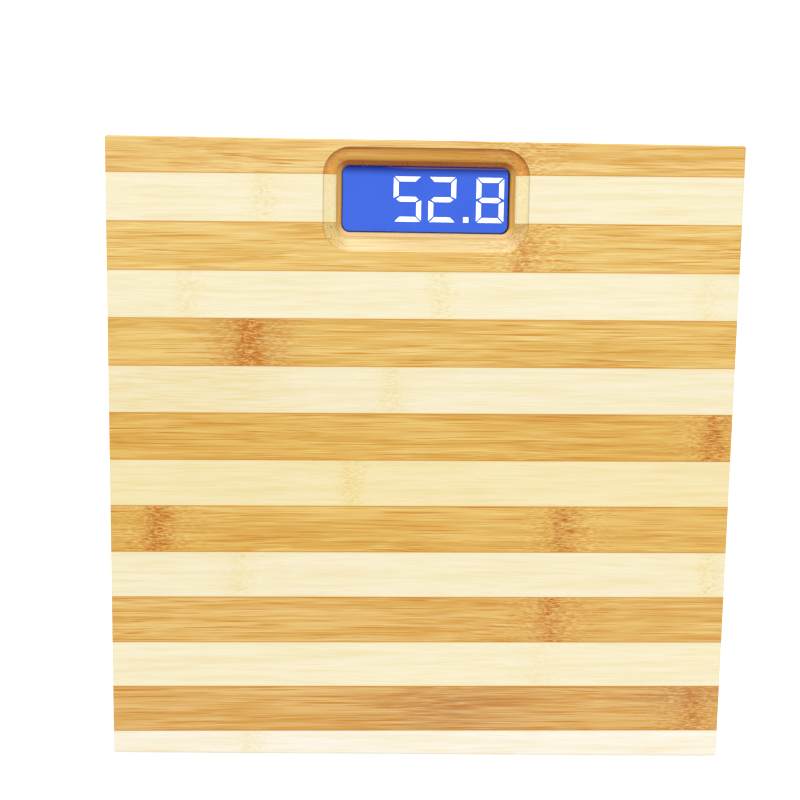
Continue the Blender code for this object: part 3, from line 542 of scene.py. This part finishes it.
def floor_paint():
    """A pale floor that only its upper side shows, so that the underside can be looked at from below."""
    s = Shader("pale_floor")
    fibre = s.noise(s.place, 2, 3.0)
    s.set(
        base_color=s.ramp(fibre, (0.3, (0.42, 0.42, 0.42, 1)), (0.7, (0.45, 0.45, 0.45, 1))),
        roughness=0.9, emission_color=WHITE, emission_strength=0.80,
    )
    clear = s.node("BsdfTransparent").outputs[0]
    below = s.node("NewGeometry").outputs["Backfacing"]
    both = s.node("MixShader", below, s.surface.outputs[0], clear)
    s.put(s.tree.nodes["Material Output"].inputs["Surface"], both.outputs[0])
    return s.material


# Mesh helpers

SHARP_FROM = math.radians(32)


def middle(node):
    low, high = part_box(node)
    return (low + high) / 2


def new_object(name, data):
    obj = bpy.data.objects.new(name, data)
    bpy.context.scene.collection.objects.link(obj)
    return obj


def from_bmesh(name, bm):
    mesh = bpy.data.meshes.new(name)
    bm.to_mesh(mesh)
    bm.free()
    return new_object(name, mesh)


def outline(half_x, half_y, radius, steps=8):
    """A rounded rectangle about the origin, anticlockwise, as (x, y) pairs."""
    points = []
    for quarter, (sign_x, sign_y) in enumerate(((1, 1), (-1, 1), (-1, -1), (1, -1))):
        centre_x, centre_y = sign_x * (half_x - radius), sign_y * (half_y - radius)
        for step in range(steps + 1):
            angle = math.pi / 2 * (quarter + step / steps)
            points.append((centre_x + radius * math.cos(angle), centre_y + radius * math.sin(angle)))
    return points


def loft(name, rings, closed=False):
    """Skins rings of points that match one to one, and caps the two ends unless the last joins the first."""
    bm = bmesh.new()
    rows = [[bm.verts.new(point) for point in points] for points in rings]
    pairs = list(zip(rows, rows[1:])) + ([(rows[-1], rows[0])] if closed else [])
    for lower, upper in pairs:
        for index in range(len(lower)):
            following = (index + 1) % len(lower)
            bm.faces.new((lower[index], lower[following], upper[following], upper[index]))
    if not closed:
        bm.faces.new(rows[0])
        bm.faces.new(rows[-1])
    bmesh.ops.recalc_face_normals(bm, faces=bm.faces)
    return from_bmesh(name, bm)


def arc_steps(radius):
    """(inset, drop) pairs of a quarter round, from the flat face over to the side wall."""
    angles = [math.pi / 2 * step / 4 for step in range(5)]
    return [(radius * (1 - math.sin(angle)), radius * (1 - math.cos(angle))) for angle in angles]


def slab(name, low, high, corner, edge, steps=8, edges=("low", "high")):
    """A rounded box between two corners. Its upright edges and its flat faces' edges have radii in mm."""
    low, high, corner, edge = Vector(low), Vector(high), corner * MM, edge * MM
    centre, half = (low + high) / 2, (high - low) / 2
    eased, sharp = arc_steps(edge), [(0.0, 0.0)]
    levels = [(inset, low.z + drop) for inset, drop in (eased if "low" in edges else sharp)]
    levels += [(inset, high.z - drop) for inset, drop in (eased[::-1] if "high" in edges else sharp)]
    rings = [
        [
            (centre.x + x, centre.y + y, z)
            for x, y in outline(half.x - inset, half.y - inset, max(corner - inset, 0.1 * MM), steps)
        ]
        for inset, z in levels
    ]
    return loft(name, rings)


def rounded(profile, radius, steps=3):
    """The profile with each inner corner replaced by a short curve that starts a radius before it."""
    smooth = [profile[0]]
    for before, corner, after in zip(profile, profile[1:], profile[2:]):
        before, corner, after = Vector(before), Vector(corner), Vector(after)
        reach = min(radius, 0.45 * (before - corner).length, 0.45 * (after - corner).length)
        start = corner + (before - corner).normalized() * reach
        end = corner + (after - corner).normalized() * reach
        for step in range(steps + 1):
            t = step / steps
            smooth.append(tuple(start.lerp(corner, t).lerp(corner.lerp(end, t), t)))
    return [*smooth, profile[-1]]


def turned(name, profile, steps=96, radius=0.0):
    """(radius, height) pairs turned about Z, with flat ends. A radius rounds the profile's corners."""
    if radius:
        profile = rounded(profile, radius)
    angles = [2 * math.pi * step / steps for step in range(steps)]
    return loft(name, [[(r * math.cos(a), r * math.sin(a), z) for a in angles] for r, z in profile])


def moved(obj, x=0.0, y=0.0, z=0.0, turn=0.0):
    obj.data.transform(Matrix.Translation((x, y, z)) @ Matrix.Rotation(turn, 4, "Z"))
    return obj


def pin(at, low, high, radius, steps):
    """An upright cylinder about a point, between two levels."""
    return moved(turned("pin", [(radius, low), (radius, high)], steps), at.x, at.y)


def apply_modifiers(obj):
    graph = bpy.context.evaluated_depsgraph_get()
    mesh = bpy.data.meshes.new_from_object(obj.evaluated_get(graph))
    obj.modifiers.clear()
    obj.data = mesh


def combine(obj, helpers, operation):
    """Booleans the helpers into the object and removes them."""
    for helper in helpers:
        modifier = obj.modifiers.new(helper.name, "BOOLEAN")
        modifier.operation, modifier.solver, modifier.object = operation, "EXACT", helper
    apply_modifiers(obj)
    for helper in helpers:
        bpy.data.objects.remove(helper)
    return obj


def finished(obj, material, slot, *replaces, body=BODY):
    """Shades the piece, gives it its material, and hangs it on its CAD body in place of CAD nodes."""
    obj.data.materials.clear()
    obj.data.materials.append(material)
    if obj.type == "MESH":
        obj.data.shade_smooth()
        obj.data.set_sharp_from_angle(angle=SHARP_FROM)
        # Weighted normals keep the shading of flat faces flat up to their eased edges
        obj.modifiers.new("weighted", "WEIGHTED_NORMAL").keep_sharp = True
        apply_modifiers(obj)
    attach(obj, body)
    if replaces:
        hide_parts(*replaces)
    return obj


def paint(node, material):
    """Gives a CAD node that stays a better material."""
    obj = nodes[node]
    if not obj.material_slots:
        obj.data.materials.append(material)
    for slot in obj.material_slots:
        slot.material = material


# Board


def ring(outline_of, z, grown=0.0, steps=12):
    """Points of one of the dish's outlines at a level. Grown moves it outwards all round."""
    half_x, half_y, centre_y, corner = outline_of
    flat = outline(half_x + grown, half_y + grown, corner + grown, steps)
    return [(x, centre_y + y, z) for x, y in flat]


def dish_cutter():
    """The dish as a solid: a rounded rim, a short steep step, an even slope, and a steep wall that goes on
    down past the pockets' ceiling."""
    clear = 2 * MM
    rings = [ring(RIM, TOP + clear, RIM_ROUND)]
    rings += [ring(RIM, TOP - drop, grown) for grown, drop in arc_steps(RIM_ROUND)]
    profile = ((0.0, RIM_ROUND), (RIM_STEP, 2 * RIM_STEP), (LEDGE, LEDGE_DEPTH), (WALL, TOP - CEILING))
    for inset, depth in rounded(profile, 0.8 * MM, 5)[1:]:
        if inset <= LEDGE:
            shape = blended(RIM, LEDGE_EDGE, inset / LEDGE)
        else:
            shape = blended(LEDGE_EDGE, OPENING, (inset - LEDGE) / (WALL - LEDGE))
        rings.append(ring(shape, TOP - depth))
    rings.append(ring(OPENING, CEILING - clear))
    return loft("dish_cutter", rings)


def blended(first, second, share):
    return tuple(a + (b - a) * share for a, b in zip(first, second))


def slice_off(bm, point, normal):
    """Cuts away what lies beyond a plane and closes the cut."""
    everything = bm.verts[:] + bm.edges[:] + bm.faces[:]
    bmesh.ops.bisect_plane(bm, geom=everything, plane_co=point, plane_no=normal, clear_outer=True, dist=1e-7)
    open_edges = [edge for edge in bm.edges if edge.is_boundary]
    if open_edges:
        bmesh.ops.holes_fill(bm, edges=open_edges, sides=0)


def strip_lines():
    """Y of the strips' long edges at x = 0, from the display edge to the heel edge."""
    lines = [HALF_BOARD, HALF_BOARD - FIRST_STRIP]
    for number in range(2, len(STRIPS)):
        lines.append(lines[-1] - (DARK_STRIP if number % 2 else LIGHT_STRIP))
    return [*lines, -HALF_BOARD]


def face_ply():
    """The face ply is carved as one piece, then sawn along the glue lines."""
    ply = slab(
        "face_ply", (-HALF_BOARD, -HALF_BOARD, PLY_SEAM), (HALF_BOARD, HALF_BOARD, TOP), CORNER, EASED_EDGE,
        5, ("high",)
    )
    combine(ply, [dish_cutter()], "DIFFERENCE")
    lines = strip_lines()
    far_normal = Vector((-math.sin(STRIP_SKEW), math.cos(STRIP_SKEW), 0.0))
    for number, (tint, *knuckles) in enumerate(STRIPS, start=1):
        name, tone = f"face_strip_{number:02d}", "dark" if number % 2 else "light"
        halves = (("_left", 1), ("_right", -1)) if f"{name}_left" in nodes else (("", 0),)
        for suffix, side in halves:
            bm = bmesh.new()
            bm.from_mesh(ply.data)
            if number > 1:
                slice_off(bm, (0, lines[number - 1], 0), far_normal)
            if number < len(STRIPS):
                slice_off(bm, (0, lines[number], 0), -far_normal)
            if side:
                slice_off(bm, (0, 0, 0), (side, 0, 0))
            strip = from_bmesh(name + suffix + "_bamboo", bm)
            borders = [line / MM for line in lines[number - 1 : number + 1] if abs(line) < HALF_BOARD]
            material = bamboo(strip.name, tone, number, knuckles, borders, (*tint, 1.0))
            finished(strip, material, f"bamboo_{tone}", name + suffix)
    bpy.data.objects.remove(ply)


def cable_way(place):
    """(foot's centre, way of its groove, the way's turn about Z, the groove's length into the pocket)."""
    end, side = place.split("_")
    sign = -1 if side == "left" else 1
    centre = middle(f"foot_pad_{place}") * Vector((1, 1, 0))
    targets = {"display": (sign * 47 * MM, centre.y, 0), "heel": mm(sign * 40, 62, 0)}
    way = Vector(targets[end]) - centre
    return centre, way.normalized(), math.atan2(way.y, way.x), way.length + 4 * MM


def core():
    """The core and back plies with everything that is milled into them."""
    board = slab(
        "core_board_bamboo", (-HALF_BOARD, -HALF_BOARD, UNDERSIDE), (HALF_BOARD, HALF_BOARD, PLY_SEAM),
        CORNER, EASED_EDGE, 5, ("low",)
    )
    below = UNDERSIDE - 2 * MM
    pocket = slab("pocket", (*mm(-54, 60.5), below), (*mm(54, 145.5), CEILING), 10, 0.5)
    cutters = [dish_cutter(), pocket]
    for place in PLACES:
        centre, way, turn, length = cable_way(place)
        cutters.append(pin(centre, below, CEILING, POCKET_RADIUS, 96))
        groove = slab(
            "groove", (24 * MM, -GROOVE_HALF_WIDTH, below),
            (length, GROOVE_HALF_WIDTH, UNDERSIDE + GROOVE_DEPTH), 0.3, 0.2, 2
        )
        cutters.append(moved(groove, centre.x, centre.y, turn=turn))
        cutters.append(pin(centre - way * HOLDER_SCREW_RADIUS, below, SCREW_TIP, SCREW_HOLE, 24))
    for name in HOUSING_SCREWS:
        cutters.append(pin(middle(name), below, SCREW_TIP, SCREW_HOLE, 24))
    combine(board, cutters, "DIFFERENCE")
    finished(board, core_bamboo(), "bamboo_core", "core_board")


# Display


def lens():
    """The clear window: a flange under the board's opening, and a raised middle that fills it."""
    low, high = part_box("window_lens")
    flange = slab("window_lens_clear", low, (high.x, high.y, low.z + 1.0 * MM), 4.2, 0.15, 10)
    inside = (OPENING[0] - 0.3 * MM, OPENING[1] - 0.3 * MM, OPENING[2], OPENING[3] - 0.3 * MM)
    rings = [ring(inside, low.z + 0.3 * MM, 0.0, 10)]
    rings += [ring(inside, high.z - drop, -inset, 10) for inset, drop in arc_steps(0.06 * MM)[::-1]]
    combine(flange, [loft("raised", rings)], "UNION")
    finished(flange, lens_acrylic(), "lens", "window_lens")


def window_mask():
    """A thin black frame printed round the view area, just over the liquid crystal panel. It shows wider at
    the bottom and right, where it is also a painted shadow of the gap round the lens.
    """
    ink_and_gap_shadow = speckled("mask_ink", 0.5, 2.0, srgb(10, 10, 14), srgb(20, 20, 26), 0.5, (0.01, 0.3))
    # The view area sits off the opening's middle and the frame is moved left, so that it shows along the
    # bottom and right as painted shadow of the gap there
    outer, view = mm(41.9, 19.0, 121.5, 2.0), mm(39.3, 15.6, 123.4, 3.4)
    under, over = PRINT_LEVEL, PRINT_LEVEL + PRINT_HEIGHT
    rings = [ring(*level) for level in ((outer, under), (outer, over), (view, over), (view, under))]
    mask = loft("window_mask", rings, closed=True)
    finished(moved(mask, -0.15 * MM), ink_and_gap_shadow, "display")


def segment(letter):
    """Outline of one segment of a digit, anticlockwise, from the digit's lower left corner."""
    width, height = DIGIT
    half, t, g = height / 2, STROKE, SEGMENT_GAP
    nose = 0.35 * t
    upright_high = [(0, height - g), (0, half + g), (t, half + t / 2 + g), (t, height - t - g)]
    upright_low = [(x, height - y) for x, y in reversed(upright_high)]
    shapes = {
        "a": [(g, height), (t + g, height - t), (width - t - g, height - t), (width - g, height)],
        "g": [
            (nose + g, half), (t + g, half - t / 2), (width - t - g, half - t / 2),
            (width - nose - g, half), (width - t - g, half + t / 2), (t + g, half + t / 2),
        ],
        "f": upright_high,
        "e": upright_low,
    }
    if letter == "d":
        return [(x, height - y) for x, y in reversed(shapes["a"])]
    if letter in "bc":
        twin = shapes["f" if letter == "b" else "e"]
        return [(width - x, y) for x, y in reversed(twin)]
    return shapes[letter]


def digits(material):
    """The lit segments of the reading lie on the liquid crystal panel."""
    for index, (character, left) in enumerate(READING, start=1):
        if character == ".":
            shapes = [[(0, 0), (POINT, 0), (POINT, POINT), (0, POINT)]]
        else:
            shapes = [segment(letter) for letter in SEGMENTS_LIT[character]]
        bm = bmesh.new()
        for shape in shapes:
            face = bm.faces.new([bm.verts.new((left + x, DIGIT_BOTTOM + y, PRINT_LEVEL)) for x, y in shape])
            raised = bmesh.ops.extrude_face_region(bm, geom=[face])
            tops = [part for part in raised["geom"] if isinstance(part, bmesh.types.BMVert)]
            bmesh.ops.translate(bm, vec=(0, 0, PRINT_HEIGHT), verts=tops)
        bmesh.ops.recalc_face_normals(bm, faces=bm.faces)
        finished(from_bmesh(f"reading_{index}", bm), material, "display")


# Electronics housing


def housing():
    """Flange and tub with the battery bay, all edges eased."""
    low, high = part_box("electronics_housing")
    shell = slab("housing_moulding", (low.x, low.y, FLANGE_LOW), (high.x, high.y, FLANGE_HIGH), 6, 0.4, 10)
    tub = slab(
        "tub", (*mm(-51.5, 62), low.z), (*mm(51.5, 144.5), FLANGE_HIGH - 0.3 * MM), 5, 0.8, 10, ("low",)
    )
    combine(shell, [tub], "UNION")
    inner = slab("inner", mm(-49.9, 63.6, 5.2), mm(49.9, 142.9, 12), 3.4, 0.3)
    combine(shell, [inner], "DIFFERENCE")
    bay = slab("bay", mm(-32.4, 63.1, 4.9), mm(32.4, 89.9, 17.1), 0.5, 0.3, 2)
    root = slab("root", mm(-28.4, 88.5, 4.6), mm(28.4, 89.9, 6.4), 0.2, 0.1, 2)
    combine(shell, [bay, root], "UNION")
    cuts = [
        slab("hollow", mm(-27, 64.5, 2), mm(27, 88.5, 16), 0.4, 0.2, 2),
        slab("doorway", mm(-29.9, 58, 2), mm(29.9, 88.5, 5.4), 0.3, 0.1, 2),
        slab("slot", mm(-31.8, 58, 4.0), mm(31.8, 87.5, 5.4), 0.3, 0.1, 2),
    ]
    button = middle("unit_button")
    cuts.append(pin(button, *mm(2, 6, 4.3), 48))
    cuts.append(moved(turned("dimple", [mm(8.2, 2.9), mm(7.2, 3.2), mm(5.4, 3.7)], 64), button.x, button.y))
    for name in HOUSING_SCREWS:
        cuts.append(pin(middle(name), FLANGE_LOW - MM, FLANGE_HIGH + MM, SCREW_HOLE, 24))
    combine(shell, cuts, "DIFFERENCE")
    finished(shell, HOUSING, "housing", "electronics_housing")


def battery_door():
    """A sliding door with grip ridges, a thumb hollow and a plain arrow that says which way it slides."""
    low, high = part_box("battery_cover")
    body_low = low.z + 0.5 * MM
    in_low, in_high = Vector(mm(1.9, 0, 0.5)), Vector(mm(-1.9, 0, 0))
    door = slab("battery_door_moulding", low + in_low, high + in_high, 0.6, 0.3, 4)
    tongues = slab(
        "tongues", (low.x, low.y + 4 * MM, 4.3 * MM), high - Vector(mm(0, 0.7, 0.2)), 0.4, 0.2, 3
    )
    combine(door, [tongues], "UNION")
    profile = ((9.5, -1), (9.5, 0), (8.4, 0.9))
    hollow = turned("hollow", [(r * MM, body_low + z * MM) for r, z in profile], 64)
    hollow.data.transform(Matrix.Diagonal((1.0, 0.62, 1.0, 1.0)))
    moved(hollow, 0.0, low.y + 7.6 * MM)
    combine(door, [hollow], "DIFFERENCE")
    ridge_low, ridge_high, half = body_low - 0.1 * MM, body_low + 1.2 * MM, 5.6 * MM
    ridges = []
    for row in range(4):
        near, far = low.y + (4.0 + 2.1 * row) * MM, low.y + (4.9 + 2.1 * row) * MM
        ridges.append(slab("ridge", (-half, near, ridge_low), (half, far, ridge_high), 0.4, 0.3, 4))
    tip, wing = low.y + 14.6 * MM, 3.2 * MM
    levels = (body_low - 0.25 * MM, body_low + MM)
    arrow = [[(0, tip, z), (wing, tip + wing, z), (-wing, tip + wing, z)] for z in levels]
    combine(door, [*ridges, loft("arrow", arrow)], "UNION")
    finished(door, HOUSING, "housing", "battery_cover", body="battery_door")


def unit_key():
    low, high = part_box("unit_button")
    brim_low = high.z - 0.6 * MM
    cap = [
        (2.6 * MM, high.z), (5.2 * MM, high.z), (5.2 * MM, brim_low), (4.0 * MM, brim_low),
        (4.0 * MM, low.z), (3.0 * MM, low.z), (2.2 * MM, low.z + 0.18 * MM), (0.6 * MM, low.z + 0.30 * MM),
    ]
    key = turned("unit_key_cap", cap, 64, radius=0.25 * MM)
    centre = middle("unit_button")
    moved(key, centre.x, centre.y)
    plastic = moulded("button_plastic", srgb(150, 152, 154), 0.45)
    finished(key, plastic, "button", "unit_button", body="unit_key")


# Screws, batteries and springs


def pan_screw_mesh():
    """A pan-head screw with a cross recess. Its thread is a stack of shallow rings."""
    head, turns, pitch = 2.2 * MM, 9, 0.62
    profile = [(0.75 * head, -1.3 * MM), (0.96 * head, -1.0 * MM), (head, -0.6 * MM), (head, 0.0)]
    profile.append(mm(1.0, 0.0))
    for turn in range(turns):
        level = (0.5 + pitch * turn) * MM
        profile += [(0.8 * MM, level), (1.0 * MM, level + 0.31 * MM)]
    profile += [mm(0.8, 6.2), mm(0.15, 7.0)]
    screw = turned("screw", profile, 40)
    slots = [
        slab("cross_slot", mm(-x, -y, -3), mm(x, y, depth), 0.1, 0.05, 2)
        for x, y, depth in ((1.35, 0.28, -0.5), (0.28, 1.35, -0.51))
    ]
    combine(screw, slots, "DIFFERENCE")
    mesh = screw.data
    bpy.data.objects.remove(screw)
    return mesh


def screws():
    material = metal("zinc_plate", srgb(198, 199, 202), 0.22, (0.3, 0.3, 3))
    mesh = pan_screw_mesh()
    names = HOUSING_SCREWS + [f"holder_screw_{place}" for place in PLACES]
    for index, name in enumerate(names):
        centre, head = middle(name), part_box(name)[0].z
        screw = new_object(f"{name}_plated", mesh.copy())
        moved(screw, centre.x, centre.y, head + 1.3 * MM, math.radians(37 * index))
        finished(screw, material, "screw", name)


def batteries():
    """Two AAA cells, turned about Z and then laid along X."""
    sleeve = battery_sleeve()
    for name, towards in zip(BATTERIES, (1, -1)):
        low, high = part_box(name)
        centre = middle(name)
        length, radius = high.x - low.x, (high.y - low.y) / 2
        shoulder = length - 1.0 * MM
        profile = [
            (1.2 * MM, length), (1.9 * MM, length), (1.9 * MM, shoulder), (4.2 * MM, shoulder),
            (radius, length - 1.9 * MM), (radius, 0.5 * MM), mm(4.6, 0.0), mm(3.0, 0.1),
        ]
        cell = turned(f"{name}_sleeved", profile, 64, radius=0.25 * MM)
        flat_end = low.x if towards > 0 else high.x
        laid = Matrix.Rotation(towards * math.pi / 2, 4, "Y")
        cell.matrix_world = Matrix.Translation((flat_end, centre.y, centre.z)) @ laid
        finished(cell, sleeve, "battery", name)


def wire(name, points, radius):
    curve = bpy.data.curves.new(name, "CURVE")
    curve.dimensions = "3D"
    curve.bevel_depth = radius
    curve.bevel_resolution = 3
    curve.use_fill_caps = True
    spline = curve.splines.new("POLY")
    spline.points.add(len(points) - 1)
    for spline_point, point in zip(spline.points, points):
        spline_point.co = (*point, 1.0)
    return new_object(name, curve)


def coil(centre, tip_x, base_x):
    """Points of a conical spring along X, from its narrow tip to the top of its wide base."""
    turns, steps = 3, 78
    points = []
    for step in range(steps + 1):
        share = step / steps
        angle, radius = 2 * math.pi * turns * share, (2.0 + 1.8 * share) * MM
        x = tip_x + (base_x - tip_x) * share
        points.append(Vector((x, centre.y + radius * math.sin(angle), centre.z + radius * math.cos(angle))))
    return points


def battery_springs():
    plated = metal("nickel_plate", srgb(214, 210, 200), 0.15, 0.3)
    rows = [middle(name) for name in BATTERIES]
    base = 26.3 * MM
    front = coil(rows[0], -19.4 * MM, -base)
    back = [Vector((p.x, 2 * rows[1].y - p.y, p.z)) for p in reversed(coil(rows[1], -23.2 * MM, -base))]
    negative = coil(rows[1], 22.6 * MM, base)
    negative.append(negative[-1] + Vector(mm(0, -3, 0)))
    for kind, points in (("bridge", front + back), ("negative", negative)):
        spring = wire(f"{kind}_spring_wire", points, SPRING_WIRE)
        finished(spring, plated, "spring", f"battery_{kind}_spring")
    low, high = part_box("battery_positive_plate")
    plate = slab("positive_plate_stamped", low, high, 0.12, 0.1, 3)
    finished(plate, plated, "spring", "battery_positive_plate")


# Feet and cables


def foot_shapes():
    """Cup, pad and holder of one foot as meshes about its centre."""
    cup = [
        mm(1.0, 11.9), mm(3.0, 11.5), mm(4.5, 10.5), mm(4.5, 3.6), mm(20.4, 3.6), mm(20.4, 10.5),
        mm(23.5, 10.5), mm(23.5, 9.5), mm(22.2, 9.5), mm(22.2, 1.9), mm(21.5, 1.2), mm(19.5, 1.2),
        mm(19.5, 2.1), mm(2.0, 2.1),
    ]
    pad = [mm(4.0, 1.8), mm(19.2, 1.8), mm(19.2, 0.0)]
    for tread in (16.2, 13.2, 10.2, 7.2):  # radii of its grooves
        pad += [mm(tread + 0.7, 0.0), mm(tread + 0.5, 0.45), mm(tread - 0.5, 0.45), mm(tread - 0.7, 0.0)]
    pad.append(mm(3.0, 0.0))
    roof = CEILING - 0.3 * MM
    groove = FLANGE_LOW + 0.25 * MM
    outside = (
        (1.0, roof), (25.4, roof), (25.4, FLANGE_HIGH), (31.2, FLANGE_HIGH), (31.2, FLANGE_LOW),
        (26.6, FLANGE_LOW), (26.4, groove), (25.8, groove), (25.6, FLANGE_LOW), (22.6, FLANGE_LOW),
    )
    holder = [(r * MM, z) for r, z in outside]
    holder += [mm(22.6, 8.4), mm(24.0, 8.4), mm(24.0, 16.0), mm(1.0, 16.0)]
    holder_object = turned("holder", holder, radius=0.3 * MM)
    rails = [slab("rail", mm(-13, y - 2, 15), mm(13, y + 2, 16.5), 0.4, 0.2, 3) for y in (-14, 14)]
    combine(holder_object, rails, "UNION")
    cuts = [
        slab("notch", mm(20, -2.4, 10.8), mm(30, 2.4, 14.2), 0.4, 0.3, 3),
        pin(Vector((-HOLDER_SCREW_RADIUS, 0, 0)), FLANGE_LOW - MM, FLANGE_HIGH + MM, SCREW_HOLE, 24),
    ]
    combine(holder_object, cuts, "DIFFERENCE")
    shapes = {
        "foot_cup": turned("cup", cup, radius=0.35 * MM),
        "foot_pad": turned("pad", pad, radius=0.22 * MM),
        "foot_holder": holder_object,
    }
    meshes = {name: obj.data for name, obj in shapes.items()}
    for obj in shapes.values():
        bpy.data.objects.remove(obj)
    return meshes


def feet():
    meshes = foot_shapes()
    looks = {"foot_pad": (rubber(), "rubber")}
    for place in PLACES:
        centre, _, turn, _ = cable_way(place)
        for name, mesh in meshes.items():
            material, slot = looks.get(name, (HOUSING, "housing"))
            piece = new_object(f"{name}_{place}_moulding", mesh.copy())
            moved(piece, centre.x, centre.y, turn=turn)
            body = BODY if name == "foot_holder" else f"foot_{place}"
            finished(piece, material, slot, f"{name}_{place}", body=body)


def smooth_route(points, spacing):
    """Points about a spacing apart on a smooth curve through the given points."""
    ends = [2 * points[0] - points[1], *points, 2 * points[-1] - points[-2]]
    route = []
    for before, start, end, after in zip(ends, ends[1:], ends[2:], ends[3:]):
        steps = max(1, round((end - start).length / spacing))
        for step in range(steps):
            t = step / steps
            square = (2 * before - 5 * start + 4 * end - after) * t**2
            cubic = (3 * start - before - 3 * end + after) * t**3
            route.append(0.5 * (2 * start + (end - before) * t + square + cubic))
    return [*route, points[-1]]


def cable_route(place):
    """The cable's way from the load cell along its groove to the circuit board."""
    end, side = place.split("_")
    sign = -1 if side == "left" else 1
    centre, way, _, length = cable_way(place)
    route = [
        centre + way * along + Vector((0, 0, z))
        for along, z in (mm(17.6, 13.0), mm(26, 12.5), (length * 0.6, 12.5 * MM))
    ]
    bends = {
        "display": ((55.2, centre.y / MM, 12.3), (46.0, centre.y / MM, 11.8)),
        "heel": ((40.5, 60.5, 12.3), (40.2, 74.0, 12.2), (42.0, 88.0, 12.0), (46.0, 103.0, 11.8)),
    }
    route += [Vector((sign * x, y, z)) * MM for x, y, z in bends[end]]
    return smooth_route(route, 2 * MM)


def cables():
    """Each cable is three thin insulated wires, laid round each other, under a few drops of glue."""
    colours = (
        ("red", insulation("insulation_red", srgb(178, 34, 28))),
        ("white", insulation("insulation_white", srgb(232, 230, 224))),
        ("black", insulation("insulation_black", srgb(30, 30, 32))),
    )
    lay, pitch = 0.62 * MM, 22 * MM
    for place in PLACES:
        route = cable_route(place)
        for index, (colour, material) in enumerate(colours):
            strand, travelled = [], 0.0
            for number, point in enumerate(route):
                ahead = route[min(number + 1, len(route) - 1)] - route[max(number - 1, 0)]
                travelled += (point - route[number - 1]).length if number else 0.0
                side = ahead.cross(Vector((0, 0, 1))).normalized()
                rise = side.cross(ahead).normalized()
                angle = 2 * math.pi * (travelled / pitch + index / 3)
                strand.append(point + lay * (math.cos(angle) * side + math.sin(angle) * rise))
            piece = wire(f"sensor_wire_{place}_{colour}", strand, CABLE_WIRE)
            replaced = [] if index else [f"sensor_cable_{place}"]
            finished(piece, material, "cable", *replaced)


def glue_drop(name, at, turn, material):
    """A drop of glue that holds the wires in their groove."""
    size = Vector(mm(4.2, 2.7, 1.9))
    bm = bmesh.new()
    bmesh.ops.create_icosphere(bm, subdivisions=4, radius=1.0)
    for vert in bm.verts:
        wobble = 1 + 0.10 * noise.noise(vert.co * 1.7 + at * 400)
        vert.co = vert.co * size * wobble
    drop = from_bmesh(name, bm)
    moved(drop, at.x, at.y, UNDERSIDE + 1.6 * MM, turn)
    finished(drop, material, "cable")


def glue():
    material = speckled(
        "hot_glue", 2.2, 3.0, srgb(236, 230, 210), srgb(248, 244, 230), 0.28, (0.2, 0.4),
        subsurface_weight=0.4, subsurface_scale=0.002,
    )
    number = 0
    for place in PLACES:
        centre, way, turn, length = cable_way(place)
        shares = (0.60,) if place.startswith("display") else (0.22, 0.5, 0.80)
        for share in shares:
            number += 1
            at = centre + way * length * share
            glue_drop(f"glue_drop_{number:02d}", at, turn, material)


# Pieces that keep their CAD shape


def inner_parts():
    foam = speckled("foam", 0.45, None, srgb(14, 14, 15), srgb(34, 34, 36), 0.95, (0.15, 0.6), (0.1, 0.7))
    diffuser = speckled("light_guide", 0.9, None, WHITE, srgb(226, 233, 244), 0.3, (0.05, 0.3), (0.2, 0.5))
    resin = speckled("potting_resin", 2.5, 3.0, srgb(16, 16, 17), srgb(30, 30, 31), 0.22, (0.15, 0.4))
    steel = metal("stamped_steel", srgb(176, 178, 182), 0.28, (0.2, 14))
    for place in PLACES:
        paint(f"load_cell_{place}", steel)
    for node, material in (
        ("lens_gasket", foam),
        ("lcd_panel", lcd_glass()),
        ("backlight_panel", diffuser),
        ("lcd_connector", elastomer()),
        ("circuit_board", solder_mask()),
        ("controller_chip", resin),
        ("unit_switch", metal("switch_can", srgb(190, 192, 195), 0.3, (0.2, 6))),
    ):
        paint(node, material)


# Stage


def stage():
    bpy.ops.mesh.primitive_plane_add(size=12)
    floor = bpy.context.object
    floor.name = "floor"
    floor.data.materials.append(floor_paint())
    floor.visible_shadow = False

    world = bpy.data.worlds.new("studio")
    world.use_nodes = True
    background = world.node_tree.nodes["Background"]
    background.inputs["Color"].default_value = WHITE
    background.inputs["Strength"].default_value = 0.36
    bpy.context.scene.world = world

    for name, kind, energy, size, location in (
        ("key", "SUN", 2.25, math.radians(20), (-0.18, 1.15, 1.64)),
        ("fill", "AREA", 5, 1.6, (0.9, -0.8, 1.8)),
        ("from_below", "AREA", 1.0, 0.9, (0.2, -0.2, -0.9)),
    ):
        lamp = bpy.data.lights.new(name, kind)
        lamp.energy = energy
        if kind == "SUN":
            lamp.angle = size
        else:
            lamp.size = size
        light = new_object(name, lamp)
        light.location = location
        light.rotation_euler = (-light.location).to_track_quat("-Z", "Y").to_euler()

    bpy.context.scene.view_settings.view_transform = "Standard"


def camera():
    """Looks down from above the display, nearly square to the platform."""
    made = bpy.data.cameras.new("camera")
    made.lens, made.sensor_width = 54.0, 36.0
    eye = Vector((-0.0235, 0.0996, 0.5704 + TOP))
    forward = Vector((0.0219, -0.1250, -0.9919)).normalized()
    up = Vector((-0.0125, 0.9920, -0.1253))
    right = forward.cross(up).normalized()
    up = right.cross(forward)
    obj = new_object("camera", made)
    obj.matrix_world = Matrix.Translation(eye) @ Matrix((right, up, -forward)).transposed().to_4x4()
    bpy.context.scene.camera = obj


HOUSING = moulded("housing_plastic", srgb(44, 44, 46), 0.48)

face_ply()
core()
lens()
window_mask()
digits(digit_light())
housing()
battery_door()
unit_key()
screws()
batteries()
battery_springs()
feet()
cables()
glue()
inner_parts()
stage()
camera()
